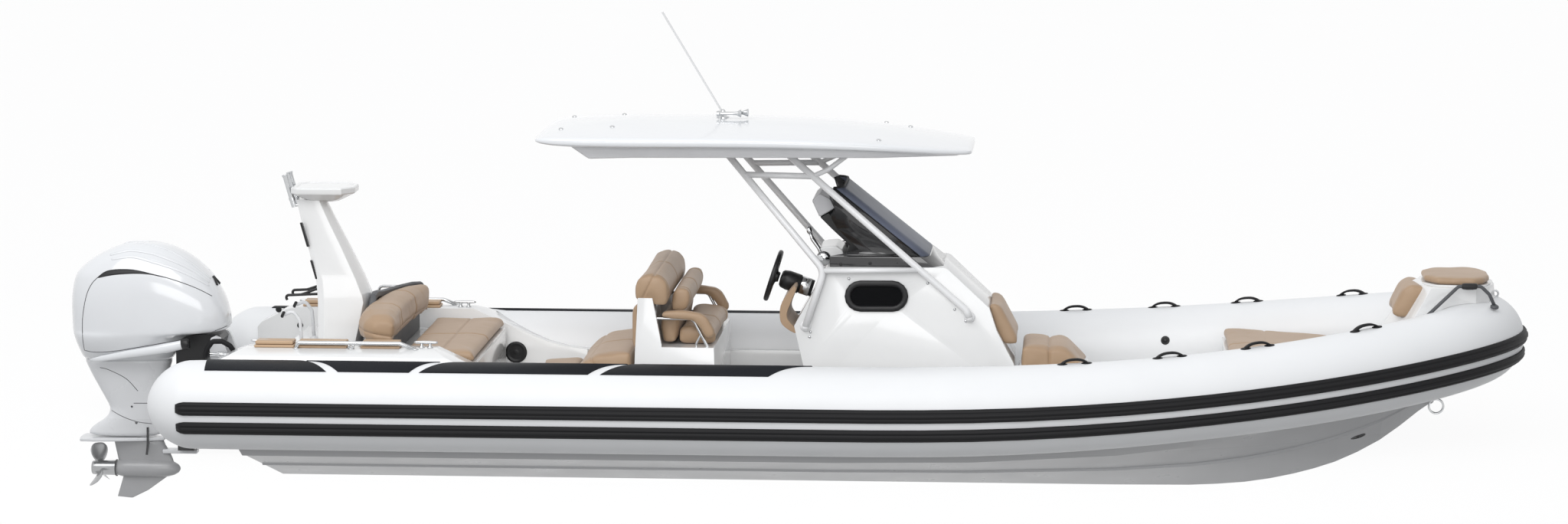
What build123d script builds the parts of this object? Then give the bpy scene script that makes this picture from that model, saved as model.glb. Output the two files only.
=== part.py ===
from build123d import *
import os
from math import atan2, cos, radians, sin, sqrt, tan

# Rigid inflatable boat, about 10 m over the tubes, millimetres.
# +X is forward, +Y is port, +Z is up. The origin is on the waterline, on the centreline,
# 110 mm ahead of the lowest corner of the transom. Each sub-part is written to parts/NODE.step.
os.makedirs("parts", exist_ok=True)

# --- driving dimensions ------------------------------------------------------------------

SEAT = 0.3            # clearance between touching curved pieces
RUN = 6.0             # clearance round moving lids and doors

# inflatable collar
TUBE_R = 316.0        # tube radius
BOW_R = 302.0         # tube radius from where the bow curve is well begun
TUBE_Y = 1290.0       # half the distance between the straight tubes' centrelines
TUBE_Z = 325.0        # height of the straight tubes' centrelines
TUBE_AFT = -515.0     # where the straight tube ends and its round cap begins
BOW_START = 5000.0    # where the tubes begin to curve in
BOW_TIP = 8635.0      # where the centrelines meet
SHEER_START = 4200.0  # where the tubes begin to rise
SHEER_RISE = 392.0    # how far they rise by the tip
BOW_TURNS = (0, 3, 6, 9, 18, 27, 36, 45, 54, 63, 72, 81, 90)   # heading of each bow station, degrees
CAP = ((314, 0.12), (285, 0.43), (235, 0.668), (165, 0.853), (90, 0.958))  # reach aft, radius share

# hull
KEEL_Z = -410.0
TRANSOM_X = -110.0    # lowest corner of the transom
DECK_Z = 280.0        # top of the cockpit sole
DECK_T = 30.0
RAKE = radians(14)    # transom rake
STRAKE_SHARE = 0.5    # how far out the lifting strake lies
CHINE_FLAT = 60.0

# shell thicknesses
WALL = 25.0           # moulded furniture walls
PIPE_R = 25.0         # roof legs
RAIL_R = 12.5         # handrails

# console
CON_AFT_HALF = 450.0  # half width at the console's aft edge
CON_FRONT_HALF = 370.0
CON_X0 = 3690.0
CON_X1 = 5290.0
WINDOW_X = 4288.0     # centre of the oval windows
WINDOW_Z = 1020.0
WINDOW_L = 400.0
WINDOW_H = 170.0
DOOR_X0, DOOR_X1 = 4040.0, 4540.0
DOOR_Z0, DOOR_Z1 = 340.0, 1140.0

# roof
ROOF_X0, ROOF_X1 = 1850.0, 4948.0
ROOF_HALF = 820.0

# helm seat
HELM_HALF = 700.0

# outboard engine
TILT_X, TILT_Z = -560.0, 600.0
STEER_X = -800.0
PROP_Z = -380.0
PROP_R = 190.0
TORPEDO_R = 68.0

# masts and whips
MAST_TOP_Z = 1625.0
ANTENNA_BASE = (3150.0, 0.0, 2254.0)


# --- small helpers -----------------------------------------------------------------------

def save(name, *shapes):
    """Write one sub-part; several shapes become one compound of separate solids."""
    solids = []
    for shape in shapes:
        solids.extend(shape.solids())
    body = solids[0] if len(solids) == 1 else Compound(children=solids)
    body.label = name
    export_step(body, f"parts/{name}.step")
    print(name, len(solids), "solid(s)")


def block(x0, x1, y0, y1, z0, z1):
    """A box given by its corners."""
    size = (x1 - x0, y1 - y0, z1 - z0)
    return Pos((x0 + x1) / 2, (y0 + y1) / 2, (z0 + z1) / 2) * Box(*size)


def face(points):
    return make_face(Polyline([Vector(*p) for p in points], close=True))


def side_plate(points, y0, y1):
    """Extrude a side profile of (x, z) points from y0 to y1."""
    return extrude(face([(x, y0, z) for x, z in points]), amount=y1 - y0, dir=(0, 1, 0))


def plan_plate(points, z0, z1):
    """Extrude a plan of (x, y) points from z0 to z1."""
    return extrude(face([(x, y, z0) for x, y in points]), amount=z1 - z0, dir=(0, 0, 1))


def symmetric(half):
    """Close a half plan of (x, y) points, y over 0, with its mirror image."""
    return list(half) + [(x, -y) for x, y in reversed(half)]


def mirrored(shape):
    return mirror(shape, about=Plane.XZ)


def both(shape):
    """A port piece and its starboard twin."""
    return [shape, mirrored(shape)]


def rod(points, radius, bend=60.0):
    """A round bar along a path of straight runs joined by tangent arcs."""
    path = [Vector(*p) for p in points]
    line = FilletPolyline(*path, radius=bend) if len(path) > 2 else Line(*path)
    start = Plane(origin=line @ 0, z_dir=line % 0)
    return sweep(start * Circle(radius), path=line)


def biggest(shape):
    """The largest solid of a shape, without the slivers a cut leaves."""
    return max(shape.solids(), key=lambda solid: solid.volume)


def soft_edges(shape, radius, axis=None):
    """Round the edges, all of them or those along one axis."""
    edges = shape.edges() if axis is None else shape.edges().filter_by(axis)
    return fillet(edges, radius)


# --- inflatable collar -------------------------------------------------------------------

def sheer(x):
    """Height of the tube's centreline."""
    return TUBE_Z + SHEER_RISE * (max(0.0, x - SHEER_START) / (BOW_TIP - SHEER_START)) ** 2


def tube_y(x):
    """Half breadth of the tube's centreline."""
    if x <= BOW_START:
        return TUBE_Y
    return TUBE_Y * sqrt(max(0.0, 1 - ((x - BOW_START) / (BOW_TIP - BOW_START)) ** 2))


def tube_radius(x):
    """The tubes grow a little slimmer as the bow curve begins."""
    slim = min(1.0, max(0.0, (x - BOW_START) / 1500))
    return TUBE_R + (BOW_R - TUBE_R) * slim


def tube_plane(x, y, heading):
    """Section plane of the port tube; its x direction points outboard, its y direction up."""
    slope = 2 * SHEER_RISE * max(0.0, x - SHEER_START) / (BOW_TIP - SHEER_START) ** 2
    along = (cos(heading), -sin(heading), slope * cos(heading))
    return Plane(origin=(x, y, sheer(x)), x_dir=(sin(heading), cos(heading), 0), z_dir=along)


def collar_stations():
    """Section planes and radii of the port tube, from its aft cap to the bow."""
    rows = [(tube_plane(TUBE_AFT - reach, TUBE_Y, 0), share * TUBE_R) for reach, share in CAP]
    rows += [(tube_plane(x, TUBE_Y, 0), TUBE_R) for x in (TUBE_AFT, SHEER_START)]
    reach = BOW_TIP - BOW_START
    for turn in BOW_TURNS:
        t = atan2(reach * sin(radians(turn)), TUBE_Y * cos(radians(turn)))
        x, y = BOW_START + reach * sin(t), TUBE_Y * cos(t)
        rows.append((tube_plane(x, max(y, 0.0) if turn < 90 else 0.0, radians(turn)), tube_radius(x)))
    return rows


def collar_tube():
    return loft([plane * Circle(radius) for plane, radius in collar_stations()], ruled=True)


def polar(radius, angle):
    return (radius * cos(radians(angle)), radius * sin(radians(angle)))


def strake_section(plane, radius, middle, half=8.6, stand=20.0, ridge=9.0):
    """A rubbing strake's section on a tube of this radius, its middle at an angle up from outboard."""
    low, high = middle - half, middle + half
    inner = radius + SEAT
    arc = ThreePointArc(polar(inner, low), polar(inner, middle), polar(inner, high))
    outer = Polyline(
        polar(inner, high), polar(inner + stand, high - 1.2), polar(inner + stand, middle + 2.2),
        polar(inner + stand + ridge, middle + 1.0), polar(inner + stand + ridge, middle - 1.0),
        polar(inner + stand, middle - 2.2), polar(inner + stand, low + 1.2), polar(inner, low))
    return plane * make_face([arc, outer])


STRAKE_AFT = 60.0     # how far onto the round cap the strakes' bevelled ends reach


def strake(middle):
    """A ribbed strake round both tubes and the bow, with bevelled aft ends."""
    reach, share = CAP[-1]
    cap_radius = TUBE_R * (share + (1 - share) * (reach - STRAKE_AFT) / reach)
    end = tube_plane(TUBE_AFT - STRAKE_AFT, TUBE_Y, 0)
    sections = [strake_section(end, cap_radius, middle, half=5.6, stand=5.0, ridge=2.0)]
    sections += [strake_section(p, r, middle) for p, r in collar_stations()[len(CAP):]]
    half = loft(sections, ruled=True)
    return half + mirrored(half)


# where the tread strips lie on the tube tops: outboard end x and inboard end x, aft then forward
TREADS = (
    (-410, -390, 260, 550), (590, 290, 1280, 1070),
    (1140, 1330, 2540, 2320), (2380, 2610, 3710, 3580),
)


def tread_strips():
    """Grip strips laid over the tube tops, cut slantwise at their ends."""
    inboard, outboard, thick = 97.6, 59.0, 4.0
    plane = tube_plane(TUBE_AFT, TUBE_Y, 0)
    a, b = TUBE_R + SEAT, TUBE_R + SEAT + thick
    mid = (inboard + outboard) / 2
    ring = make_face([
        ThreePointArc(polar(a, outboard), polar(a, mid), polar(a, inboard)),
        Line(polar(a, inboard), polar(b, inboard)),
        ThreePointArc(polar(b, inboard), polar(b, mid), polar(b, outboard)),
        Line(polar(b, outboard), polar(a, outboard))])
    band = extrude(plane * ring, amount=SHEER_START - TUBE_AFT, dir=(1, 0, 0))
    y_in, y_out = TUBE_Y - TUBE_R, TUBE_Y + TUBE_R
    strips = []
    for out0, in0, in1, out1 in TREADS:
        plan = [(in0, y_in), (in1, y_in), (out1, y_out), (out0, y_out)]
        strips.append(band & plan_plate(plan, 0, TUBE_Z + 2 * TUBE_R))
    return strips


# --- hull and deck -----------------------------------------------------------------------

# station x, keel z, chine half breadth, chine z, top z
HULL = (
    (TRANSOM_X, KEEL_Z, 1120, -72, 250),
    (4000, KEEL_Z, 1120, -72, 250),
    (5000, KEEL_Z, 1100, -60, 250),
    (6000, KEEL_Z, 1030, -12, 250),
    (6550, -405, 950, 45, 262),
    (6750, -395, 902, 76, 280),
    (6950, -378, 850, 108, 300),
    (7130, -350, 795, 142, 322),
    (7300, -313, 740, 175, 345),
    (7450, -272, 682, 205, 367),
    (7600, -221, 620, 235, 390),
    (7760, -147, 542, 268, 415),
    (7920, -56, 460, 300, 440),
    (8060, 48, 374, 333, 466),
    (8190, 156, 290, 365, 490),
    (8310, 243, 195, 396, 514),
    (8420, 322, 95, 426, 536),
)


def hull_section(x, keel, chine, chine_z, top, raked=False):
    inner = chine - CHINE_FLAT * chine / 1120
    rise = (chine_z - keel) / inner
    step = 45 * chine / 1120
    ys = STRAKE_SHARE * inner
    half = [
        (0, keel),
        (ys, keel + rise * ys),
        (ys + step, keel + rise * ys + 2),
        (ys + step + 4, keel + rise * (ys + step + 4)),
        (inner, chine_z),
        (chine, chine_z + 2),
        (max(chine + 20, tube_y(x) - 70), chine_z + 95),
        (max(chine + 20, tube_y(x) - 70) - 2, top),
    ]
    outline = half + [(-y, z) for y, z in reversed(half[1:])]
    lean = tan(RAKE) if raked else 0.0
    return face([(x - lean * (z - keel), y, z) for y, z in outline])


def hull_solid(tubes):
    sections = [hull_section(*row, raked=(row is HULL[0])) for row in HULL]
    body = loft(sections, ruled=True)
    for tube in tubes:
        body = body - tube
    return body


def deck_plate(hull, tubes):
    plan = symmetric([(-60 + SEAT, 1010), (BOW_START, 1010), (6000, 970), (6790, 860)])
    return plan_plate(plan, DECK_Z - DECK_T, DECK_Z) - hull - tubes[0] - tubes[1]


# side profile of the stern platforms and the pod that carries the engine
PLATFORM = ((40, 0), (-250, 0), (-620, 20), (-640, 100), (-620, 330), (-60, 330), (-60, 200))
POD_HALF = 335.0
POD_AFT = -450.0
POD_TOP = 440.0


def stern_moulding(hull, tubes):
    """Two bathing platforms joined by the engine pod between them."""
    side = side_plate(PLATFORM, POD_HALF + 60, 1080)
    profile = [(60, -150), (POD_AFT + 110, -90), (POD_AFT, 20), (POD_AFT, POD_TOP), (-60, POD_TOP), (0, 0)]
    pod = side_plate(profile, -POD_HALF, POD_HALF)
    sill = block(-330, -60, -POD_HALF - 70, POD_HALF + 70, 0, 330)
    body = pod + sill + side + mirrored(side)
    return body - hull - tubes[0] - tubes[1]


COAMING_TOP = 700.0
COAMING_IN = 900.0
# side profile of the coaming that sweeps down into the low bulwark
COAMING = (
    (-450, 330), (-455, 545), (-424, 583), (-250, 672), (-165, COAMING_TOP), (1192, COAMING_TOP), (1440, 588),
    (1600, 515), (1750, 455), (1900, 418), (2050, 400), (5000, 400), (5000, DECK_Z), (-60, DECK_Z), (-60, 330),
)
COAMING_SECTION = ((COAMING_IN, 250), (COAMING_IN, COAMING_TOP), (1090, COAMING_TOP), (1190, 660), (1230, 600), (1230, 250))


def coaming(tube, hull):
    """Port coaming: a side profile cut to its cross-section and seated on the tube."""
    profile = side_plate(COAMING, COAMING_IN, 1230)
    section = extrude(face([(-600, y, z) for y, z in COAMING_SECTION]), amount=5700, dir=(1, 0, 0))
    thin = block(2050, 5100, 0, 945, 0, 900)
    return (profile & section) - thin - tube - hull


# --- stern furniture ---------------------------------------------------------------------

AFT_DECK_Z = 560.0
BENCH_HALF = 860.0
BENCH_X0, BENCH_X1 = 620.0, 1440.0
BENCH_HINGE_X = 900.0
BENCH_Z = 560.0
BENCH_CUSHION = 130.0
LID_T = 15.0
LID_GAP = 0.3
BENCH_BACK_HALF = 790.0
BENCH_SHELL_X = 800.0      # front of the shell under the backrest pad
BENCH_SHELL_Z = 700.0
# the backrest pad: height, aft face at its middle, aft face at its ends, front at its middle, front at its ends
BENCH_PAD_LOW = (BENCH_SHELL_Z + SEAT, 520, 790, 828, 858)
BENCH_PAD_HIGH = (905, 610, 800, 850, 885)
BENCH_PAD = (
    (BENCH_HINGE_X + 5, BENCH_Z + LID_T + SEAT), (BENCH_HINGE_X + 5, BENCH_Z + BENCH_CUSHION),
    (1150, BENCH_Z + BENCH_CUSHION - 8), (1330, BENCH_Z + BENCH_CUSHION - 35), (1420, 635), (BENCH_X1 + 8, 600),
    (BENCH_X1 + 8, BENCH_Z + LID_T + SEAT),
)


def locker(plan, cavity, z0, z1, floor):
    """A locker with an open top: its outer plan less its cavity."""
    return plan_plate(plan, z0, z1) - plan_plate(cavity, floor, z1 + 10)


def rectangle(x0, x1, half):
    return [(x0, -half), (x1, -half), (x1, half), (x0, half)]


def bench_base():
    return locker(
        rectangle(BENCH_X0, BENCH_X1, BENCH_HALF),
        rectangle(BENCH_HINGE_X + WALL, BENCH_X1 - WALL, BENCH_HALF - WALL), DECK_Z, BENCH_Z, DECK_Z + WALL)


def crescent(z, back_mid, back_end, front_mid, front_end, half=BENCH_BACK_HALF):
    """A plan bounded by two arcs that bow aft, joined by straight ends."""
    def bow(x_mid, x_end):
        return ThreePointArc((x_end, -half, z), (x_mid, 0, z), (x_end, half, z))
    front, back = bow(front_mid, front_end), bow(back_mid, back_end)
    return make_face([front, Line(front @ 1, back @ 1), back, Line(back @ 0, front @ 0)])


def bench_shell():
    """Curved shell under the backrest pad, with a raised rim behind its port half."""
    foot = extrude(crescent(BENCH_Z + SEAT, 500, 775, BENCH_SHELL_X - 1, BENCH_SHELL_X), amount=BENCH_SHELL_Z - BENCH_Z - SEAT, dir=(0, 0, 1))
    rim = extrude(crescent(BENCH_SHELL_Z - 1, 476, 748, 500, 775), amount=216, dir=(0, 0, 1))
    return foot + (rim & block(0, 900, -150, 900, 0, 1000))


MAST = (  # height, aft x, fore x, half width
    (AFT_DECK_Z, 236, 470, 240),
    (930, 162, 540, 205),
    (MAST_TOP_Z - 30, 25, 215, 100),
)


def rounded_plan(z, x0, x1, half, radius):
    middle = Plane(origin=((x0 + x1) / 2, 0, z))
    return middle * RectangleRounded(x1 - x0, 2 * half, radius)


def mast():
    return loft([rounded_plan(z, x0, x1, half, 35) for z, x0, x1, half in MAST], ruled=True)


def mast_with_platform():
    """Tapering mast with a wing platform and its gusset on top."""
    column = mast()
    plan = [(4, -150), (60, -205), (330, -205), (456, -90), (456, 90), (330, 205), (60, 205), (4, 150)]
    top = plan_plate(plan, MAST_TOP_Z + 15, MAST_TOP_Z + 50)
    gusset = side_plate([(30, MAST_TOP_Z + 15), (75, 1560), (225, 1560), (380, MAST_TOP_Z + 15)], -60, 60)
    return column + top + gusset


ROD_HOLDER_FOOT = (52.0, 90.0, 1665.0)
ROD_HOLDER_LEAN = 41.0
ROD_HOLDER_L = 165.0
ROD_HOLDER_BORE = 16.0
ROD_HOLDER_DEPTH = 125.0


def rod_holder():
    """Open tube that leans aft, with a closed foot."""
    tube = Pos(0, 0, ROD_HOLDER_L / 2) * Cylinder(ROD_HOLDER_BORE + 4, ROD_HOLDER_L)
    bore = Pos(0, 0, ROD_HOLDER_L - ROD_HOLDER_DEPTH / 2) * Cylinder(ROD_HOLDER_BORE, ROD_HOLDER_DEPTH)
    return Pos(*ROD_HOLDER_FOOT) * Rot(0, -ROD_HOLDER_LEAN, 0) * (tube - bore)


# --- outboard engine ---------------------------------------------------------------------

PAN_Z = 668.0         # where the hood meets the lower cowling
COWL = (  # height, aft x, fore x, half width, corner radius
    (440, -1576, -800, 235, 200),
    (580, -1628, -800, 272, 225),
    (PAN_Z, -1648, -800, 288, 240),
)
HOOD = (
    (PAN_Z, -1648, -480, 288, 240),
    (867, -1650, -505, 295, 245),
    (987, -1640, -560, 290, 240),
    (1084, -1612, -630, 272, 225),
    (1159, -1535, -706, 245, 205),
    (1222, -1440, -786, 212, 180),
    (1275, -1325, -900, 160, 135),
    (1307, -1240, -1010, 90, 78),
)
LEG = (
    (440, -1568, -955, 150, 100),
    (300, -1508, -955, 115, 80),
    (80, -1396, -975, 88, 60),
    (0, -1420, -985, 82, 55),
    (-55, -1520, -995, 76, 50),
    (-140, -1550, -1010, 72, 45),
)
YOKE_Z = -232.0       # top of the lower yoke, under the swivel bracket
STEER_SLOT = 205.0
SWIVEL_HALF = 120.0
CHEEK_IN, CHEEK_OUT = 150.0, 190.0
TILT_PIN_R = 20.0
STEER_PIN_R = 25.0
PIN_FIT = 0.05


def engine_cowl():
    return loft([rounded_plan(*row) for row in HOOD], ruled=True)


def engine_leg():
    """Lower cowling, midsection and yokes, with room for the swivel bracket in front."""
    apron = loft([rounded_plan(*row) for row in COWL], ruled=True)
    apron = apron - block(-960, -700, -STEER_SLOT, STEER_SLOT, 300, PAN_Z - 20)
    mid = loft([rounded_plan(*row) for row in LEG], ruled=True)
    upper = block(-975, STEER_X + 45, -60, 60, PAN_Z - 20, PAN_Z)
    pin_foot = YOKE_Z + SEAT
    pin = Pos(STEER_X, 0, (PAN_Z + pin_foot) / 2) * Cylinder(STEER_PIN_R, PAN_Z - pin_foot)
    return apron + mid + upper + pin


def gearcase():
    """Plate, strut, torpedo, skeg and the yoke that holds the foot of the steering pin."""
    plate_plan = symmetric([(-984, 25), (-1100, 75), (-1500, 120), (-1608, 100), (-1600, 40)])
    yoke = block(-1000, STEER_X + 58, -42, 42, YOKE_Z - 30, YOKE_Z)
    plate = plan_plate(plate_plan, -166, -140)
    strut = loft([rounded_plan(-140, -1370, -1010, 62, 45), rounded_plan(-340, -1320, -930, 26, 20)], ruled=True)
    axis = Plane(origin=(-1330, 0, PROP_Z), z_dir=(1, 0, 0))
    pod = loft([axis.offset(d) * Circle(r) for d, r in (
        (0, 52), (60, TORPEDO_R), (330, TORPEDO_R), (410, 50), (455, 22))], ruled=True)
    skeg = side_plate([(-915, -400), (-1120, -545), (-1239, -606), (-1353, -596), (-1300, -430), (-1290, -390)], -9, 9)
    shaft = Pos(-1400, 0, PROP_Z) * Rot(0, 90, 0) * Cylinder(14, 160)
    return plate + strut + pod + skeg + shaft + yoke


def propeller():
    hub = Pos(-1438, 0, PROP_Z) * Rot(0, 90, 0) * Cylinder(54, 196)
    blade = Pos(0, 0, 118) * Rot(0, 0, 32) * Rot(90, 0, 0) * extrude(Ellipse(70, PROP_R - 118), amount=4.5, both=True)
    for turn in (0, 120, 240):
        hub = hub + Pos(-1430, 0, PROP_Z) * Rot(turn, 0, 0) * blade
    bore = Pos(-1438, 0, PROP_Z) * Rot(0, 90, 0) * Cylinder(14 + PIN_FIT, 400)
    return hub - bore


def clamp_bracket():
    """Two cheeks bolted to the pod and the tilt tube between them."""
    cheek = side_plate([
        (POD_AFT, 130), (POD_AFT, 435), (-508, 590), (-528, 628), (-560, 642), (-592, 628), (-606, 590),
        (-598, 430), (-530, 130)], CHEEK_IN, CHEEK_OUT)
    tube = Pos(TILT_X, 0, TILT_Z) * Rot(90, 0, 0) * Cylinder(TILT_PIN_R, 2 * CHEEK_OUT)
    back = block(POD_AFT - 16, POD_AFT, -CHEEK_OUT, CHEEK_OUT, 130, 400)
    return cheek + mirrored(cheek) + tube + back


def swivel_bracket():
    arm = side_plate([
        (-522, 610), (-545, 636), (-575, 640), (-860, 640), (-868, 560), (-868, YOKE_Z + 8), (-745, YOKE_Z + 8),
        (-735, 84), (-690, 240),
        (-640, 470), (-535, 562)], -SWIVEL_HALF, SWIVEL_HALF)
    tilt_bore = Pos(TILT_X, 0, TILT_Z) * Rot(90, 0, 0) * Cylinder(TILT_PIN_R + PIN_FIT, 400)
    steer_bore = Pos(STEER_X, 0, 0) * Cylinder(STEER_PIN_R + PIN_FIT, 2000)
    return arm - tilt_bore - steer_bore


# --- console and helm --------------------------------------------------------------------

CONSOLE = (
    (3790, DECK_Z), (3764, 512), (3698, 801), (3934, 1225), (4775, 1225), (4800, 1212), (5095, 935),
    (5150, 770), (5275, 529), (CON_X1, DECK_Z),
)
CON_TOP = 1225.0


def console_half(x):
    """Half width of the console, which tapers forward."""
    return CON_AFT_HALF + (CON_FRONT_HALF - CON_AFT_HALF) * (x - CON_X0) / (CON_X1 - CON_X0)


def console_plan(inset=0.0):
    return symmetric([(CON_X0 - 40, console_half(CON_X0 - 40) - inset), (CON_X1 + 40, console_half(CON_X1 + 40) - inset)])


def console_outer():
    return side_plate(CONSOLE, -600, 600) & plan_plate(console_plan(), 0, 1500)


def console_shell():
    outer_face = face([(x, -600, z) for x, z in CONSOLE])
    inner_face = offset(outer_face, amount=-WALL, kind=Kind.INTERSECTION)
    inner = extrude(inner_face, amount=1200, dir=(0, 1, 0)) & plan_plate(console_plan(WALL), 0, 1500)
    open_foot = plan_plate(symmetric([(3820, 420), (5250, 345)]), DECK_Z - 10, DECK_Z + 60)
    return console_outer() - inner - open_foot


def wall_frame(x, z, side):
    """Plane on the console's side wall; its z direction points outboard, its y direction up."""
    slope = (CON_FRONT_HALF - CON_AFT_HALF) / (CON_X1 - CON_X0)
    along = Vector(1, side * slope, 0)
    if side > 0:
        along = along * -1
    return Plane(origin=(x, side * console_half(x), z), x_dir=along, z_dir=(-slope, side, 0))


def oval(length, height):
    return RectangleRounded(length, height, height / 2 - 1)


def window_hole(side):
    return extrude(wall_frame(WINDOW_X, WINDOW_Z, side) * oval(WINDOW_L, WINDOW_H), amount=60, both=True)


def window_glass(side):
    pane = oval(WINDOW_L - 2 * SEAT, WINDOW_H - 2 * SEAT)
    plane = wall_frame(WINDOW_X, WINDOW_Z, side).offset(-6)
    return extrude(plane * pane, amount=6)


def door_prism(gap):
    middle_x, middle_z = (DOOR_X0 + DOOR_X1) / 2, (DOOR_Z0 + DOOR_Z1) / 2
    outline = RectangleRounded(DOOR_X1 - DOOR_X0 - 2 * gap, DOOR_Z1 - DOOR_Z0 - 2 * gap, 60)
    return extrude(wall_frame(middle_x, middle_z, 1) * outline, amount=60, both=True)


DOOR_HINGE_X = DOOR_X1 + 2.5
DOOR_HINGE_OUT = 8.0
DOOR_HINGES_Z = (480.0, 1000.0)


def door_hinge(z):
    """The console's half and the door's half of one hinge."""
    wall = wall_frame(DOOR_HINGE_X, z, 1)
    shift = DOOR_HINGE_OUT * sqrt(1 + (wall.z_dir.X / wall.z_dir.Y) ** 2)
    axis = Plane(origin=wall.origin + Vector(0, shift, 0), x_dir=wall.x_dir, z_dir=wall.z_dir)

    def knuckle(radius, y0, y1):
        return Pos(0, (y0 + y1) / 2, 0) * Rot(90, 0, 0) * Cylinder(radius, y1 - y0)

    def leaf(x0, x1, y0, y1):
        return block(x0, x1, y0, y1, -DOOR_HINGE_OUT, -3)
    fixed = knuckle(4, -32, 32)
    for y0, y1 in ((-32, -12), (12, 32)):
        fixed = fixed + knuckle(7, y0, y1) + leaf(-34, -3, y0, y1)
    swinging = knuckle(7, -11, 11) + leaf(3, 34, -11, 11) - knuckle(4 + PIN_FIT, -12, 12)
    return axis * fixed, axis * swinging


SCREEN_Z0, SCREEN_Z1 = 1300.0, 1795.0
GLASS_T = 8.0
SCREEN_INSET = 42.0
SCREEN_FRONT, SCREEN_TIP = 4762.0, 4045.0   # its front edge at the console's top and at its own top


def screen_solid(inset, z0, z1, stretch=0.0):
    """The wraparound windscreen's outside, less inset on its sides and front."""
    def plan(z, front):
        half = console_half(3950) - SCREEN_INSET
        return face([(x, y, z) for x, y in symmetric([
            (3950 - stretch, half - inset), (front - 70 - inset, half - 28 - inset), (front - inset, half - 120 - inset)])])

    def front_at(z):
        return SCREEN_FRONT + (SCREEN_TIP - SCREEN_FRONT) * (z - CON_TOP) / (SCREEN_Z1 - CON_TOP)
    return loft([plan(z0, front_at(z0)), plan(z1, front_at(z1))], ruled=True)


def windscreen():
    outer = screen_solid(0, SCREEN_Z0, SCREEN_Z1)
    return outer - screen_solid(GLASS_T, SCREEN_Z0 - 1, SCREEN_Z1 + 1, stretch=50)


def windscreen_base():
    outer = screen_solid(-4, CON_TOP, SCREEN_Z0)
    return outer - screen_solid(16, CON_TOP - 1, SCREEN_Z0 + 1, stretch=50)


DASH = (
    (3965, CON_TOP), (3880, 1330), (3838, 1500), (3826, 1640), (3856, 1712), (3925, 1700), (4060, 1560),
    (4330, CON_TOP),
)

WHEEL_C = Vector(3518, 0, 1103)
WHEEL_AXIS = Vector(-0.951, 0, 0.309)      # towards the helmsman
WHEEL_R = 178.0
COLUMN_L = 330.0


def wheel_plane():
    return Plane(origin=WHEEL_C, x_dir=(0, 1, 0), z_dir=WHEEL_AXIS)


def steering_wheel():
    plane = wheel_plane()
    rim = plane * Torus(WHEEL_R, 16)
    hub = plane.offset(-22) * Cylinder(38, 44)
    body = rim + hub
    for turn in (90, 210, 330):
        spoke = Rot(0, 0, turn) * Pos(WHEEL_R / 2 + 10, 0, 0) * Box(WHEEL_R - 20, 34, 9)
        body = body + plane * spoke
    bore = plane.offset(-60) * Cylinder(11 + PIN_FIT, 76)
    return body - bore


def helm_column(shell):
    """Column from the console's sloping aft face, with the shaft that carries the wheel."""
    plane = wheel_plane()
    housing = plane.offset(-50 - COLUMN_L / 2) * Cylinder(62, COLUMN_L)
    shaft = plane.offset(-60) * Cylinder(11, 72)
    return (housing + shaft) - shell


# --- roof and its legs -------------------------------------------------------------------

ROOF = (  # x, half width, rim bottom, rim top, shoulder, crown
    (ROOF_X0, 690, 2140, 2160, 2167, 2171),
    (1950, 780, 2122, 2182, 2206, 2218),
    (2250, ROOF_HALF, 2112, 2184, 2224, 2246),
    (2880, ROOF_HALF, 2116, 2187, 2233, 2261),
    (3620, ROOF_HALF, 2118, 2187, 2228, 2255),
    (4290, 765, 2099, 2151, 2189, 2206),
    (4700, 640, 2073, 2098, 2130, 2140),
    (ROOF_X1, 480, 2054, 2070, 2080, 2084),
)
LINER = ((2075, 2135), (2243, 2021), (2563, 2030), (3500, 2040), (4870, 2036), (4890, 2066), (4290, 2120), (2500, 2130))
LINER_PLAN = ((2000, 660), (3900, 660), (4300, 620), (4900, 400))


def roof_shell():
    sections = []
    for x, half, rim, edge, shoulder, crown in ROOF:
        outline = [(0, rim), (half - 12, rim), (half, rim + 12), (0.985 * half, edge), (0.52 * half, shoulder), (0, crown)]
        outline += [(-y, z) for y, z in reversed(outline[1:-1])]
        sections.append(face([(x, y, z) for y, z in outline]))
    return loft(sections, ruled=True)


def leg_y(x):
    return console_half(x) + PIPE_R + SEAT


REAR_KNEE = (3915.0, 1205.0)
REAR_TOP = (3170.0, 330.0)
FRONT_KNEE = (4600.0, 1212.0)
FRONT_TOP = (3610.0, 430.0)
BRACE_Z = 1882.0


def roof_legs(roof, liner, console):
    """Port side: rear and front legs, brace, windscreen rail and gusset."""
    knee_x, knee_z = REAR_KNEE
    front_x, front_z = FRONT_KNEE
    top_z = 2090.0
    rear_top = Vector(REAR_TOP[0], REAR_TOP[1], top_z)
    rear_knee = Vector(knee_x, leg_y(knee_x), knee_z)
    front_top = Vector(FRONT_TOP[0], FRONT_TOP[1], top_z)
    front_knee = Vector(front_x, leg_y(front_x), front_z)
    rear = rod([(3768, leg_y(3768), 780), rear_knee, rear_top], PIPE_R, 110)
    front = rod([(4968, leg_y(4968), 850), (4930, leg_y(4930), 925), front_knee, front_top], PIPE_R, 60)
    def on(top, knee):
        return knee + (top - knee) * ((BRACE_Z - knee.Z) / (top.Z - knee.Z))
    a, b = on(rear_top, rear_knee), on(front_top, front_knee)
    brace = rod([a, b], PIPE_R - 3)
    rail = rod([rear_knee, front_knee], PIPE_R - 5)
    gusset = rod([b, (b.X + 110, b.Y, b.Z + 50), (b.X + 300, b.Y, top_z)], PIPE_R - 7, 70)
    return (rear + front + brace + rail + gusset) - roof - liner - console


# --- helm seat ---------------------------------------------------------------------------

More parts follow.
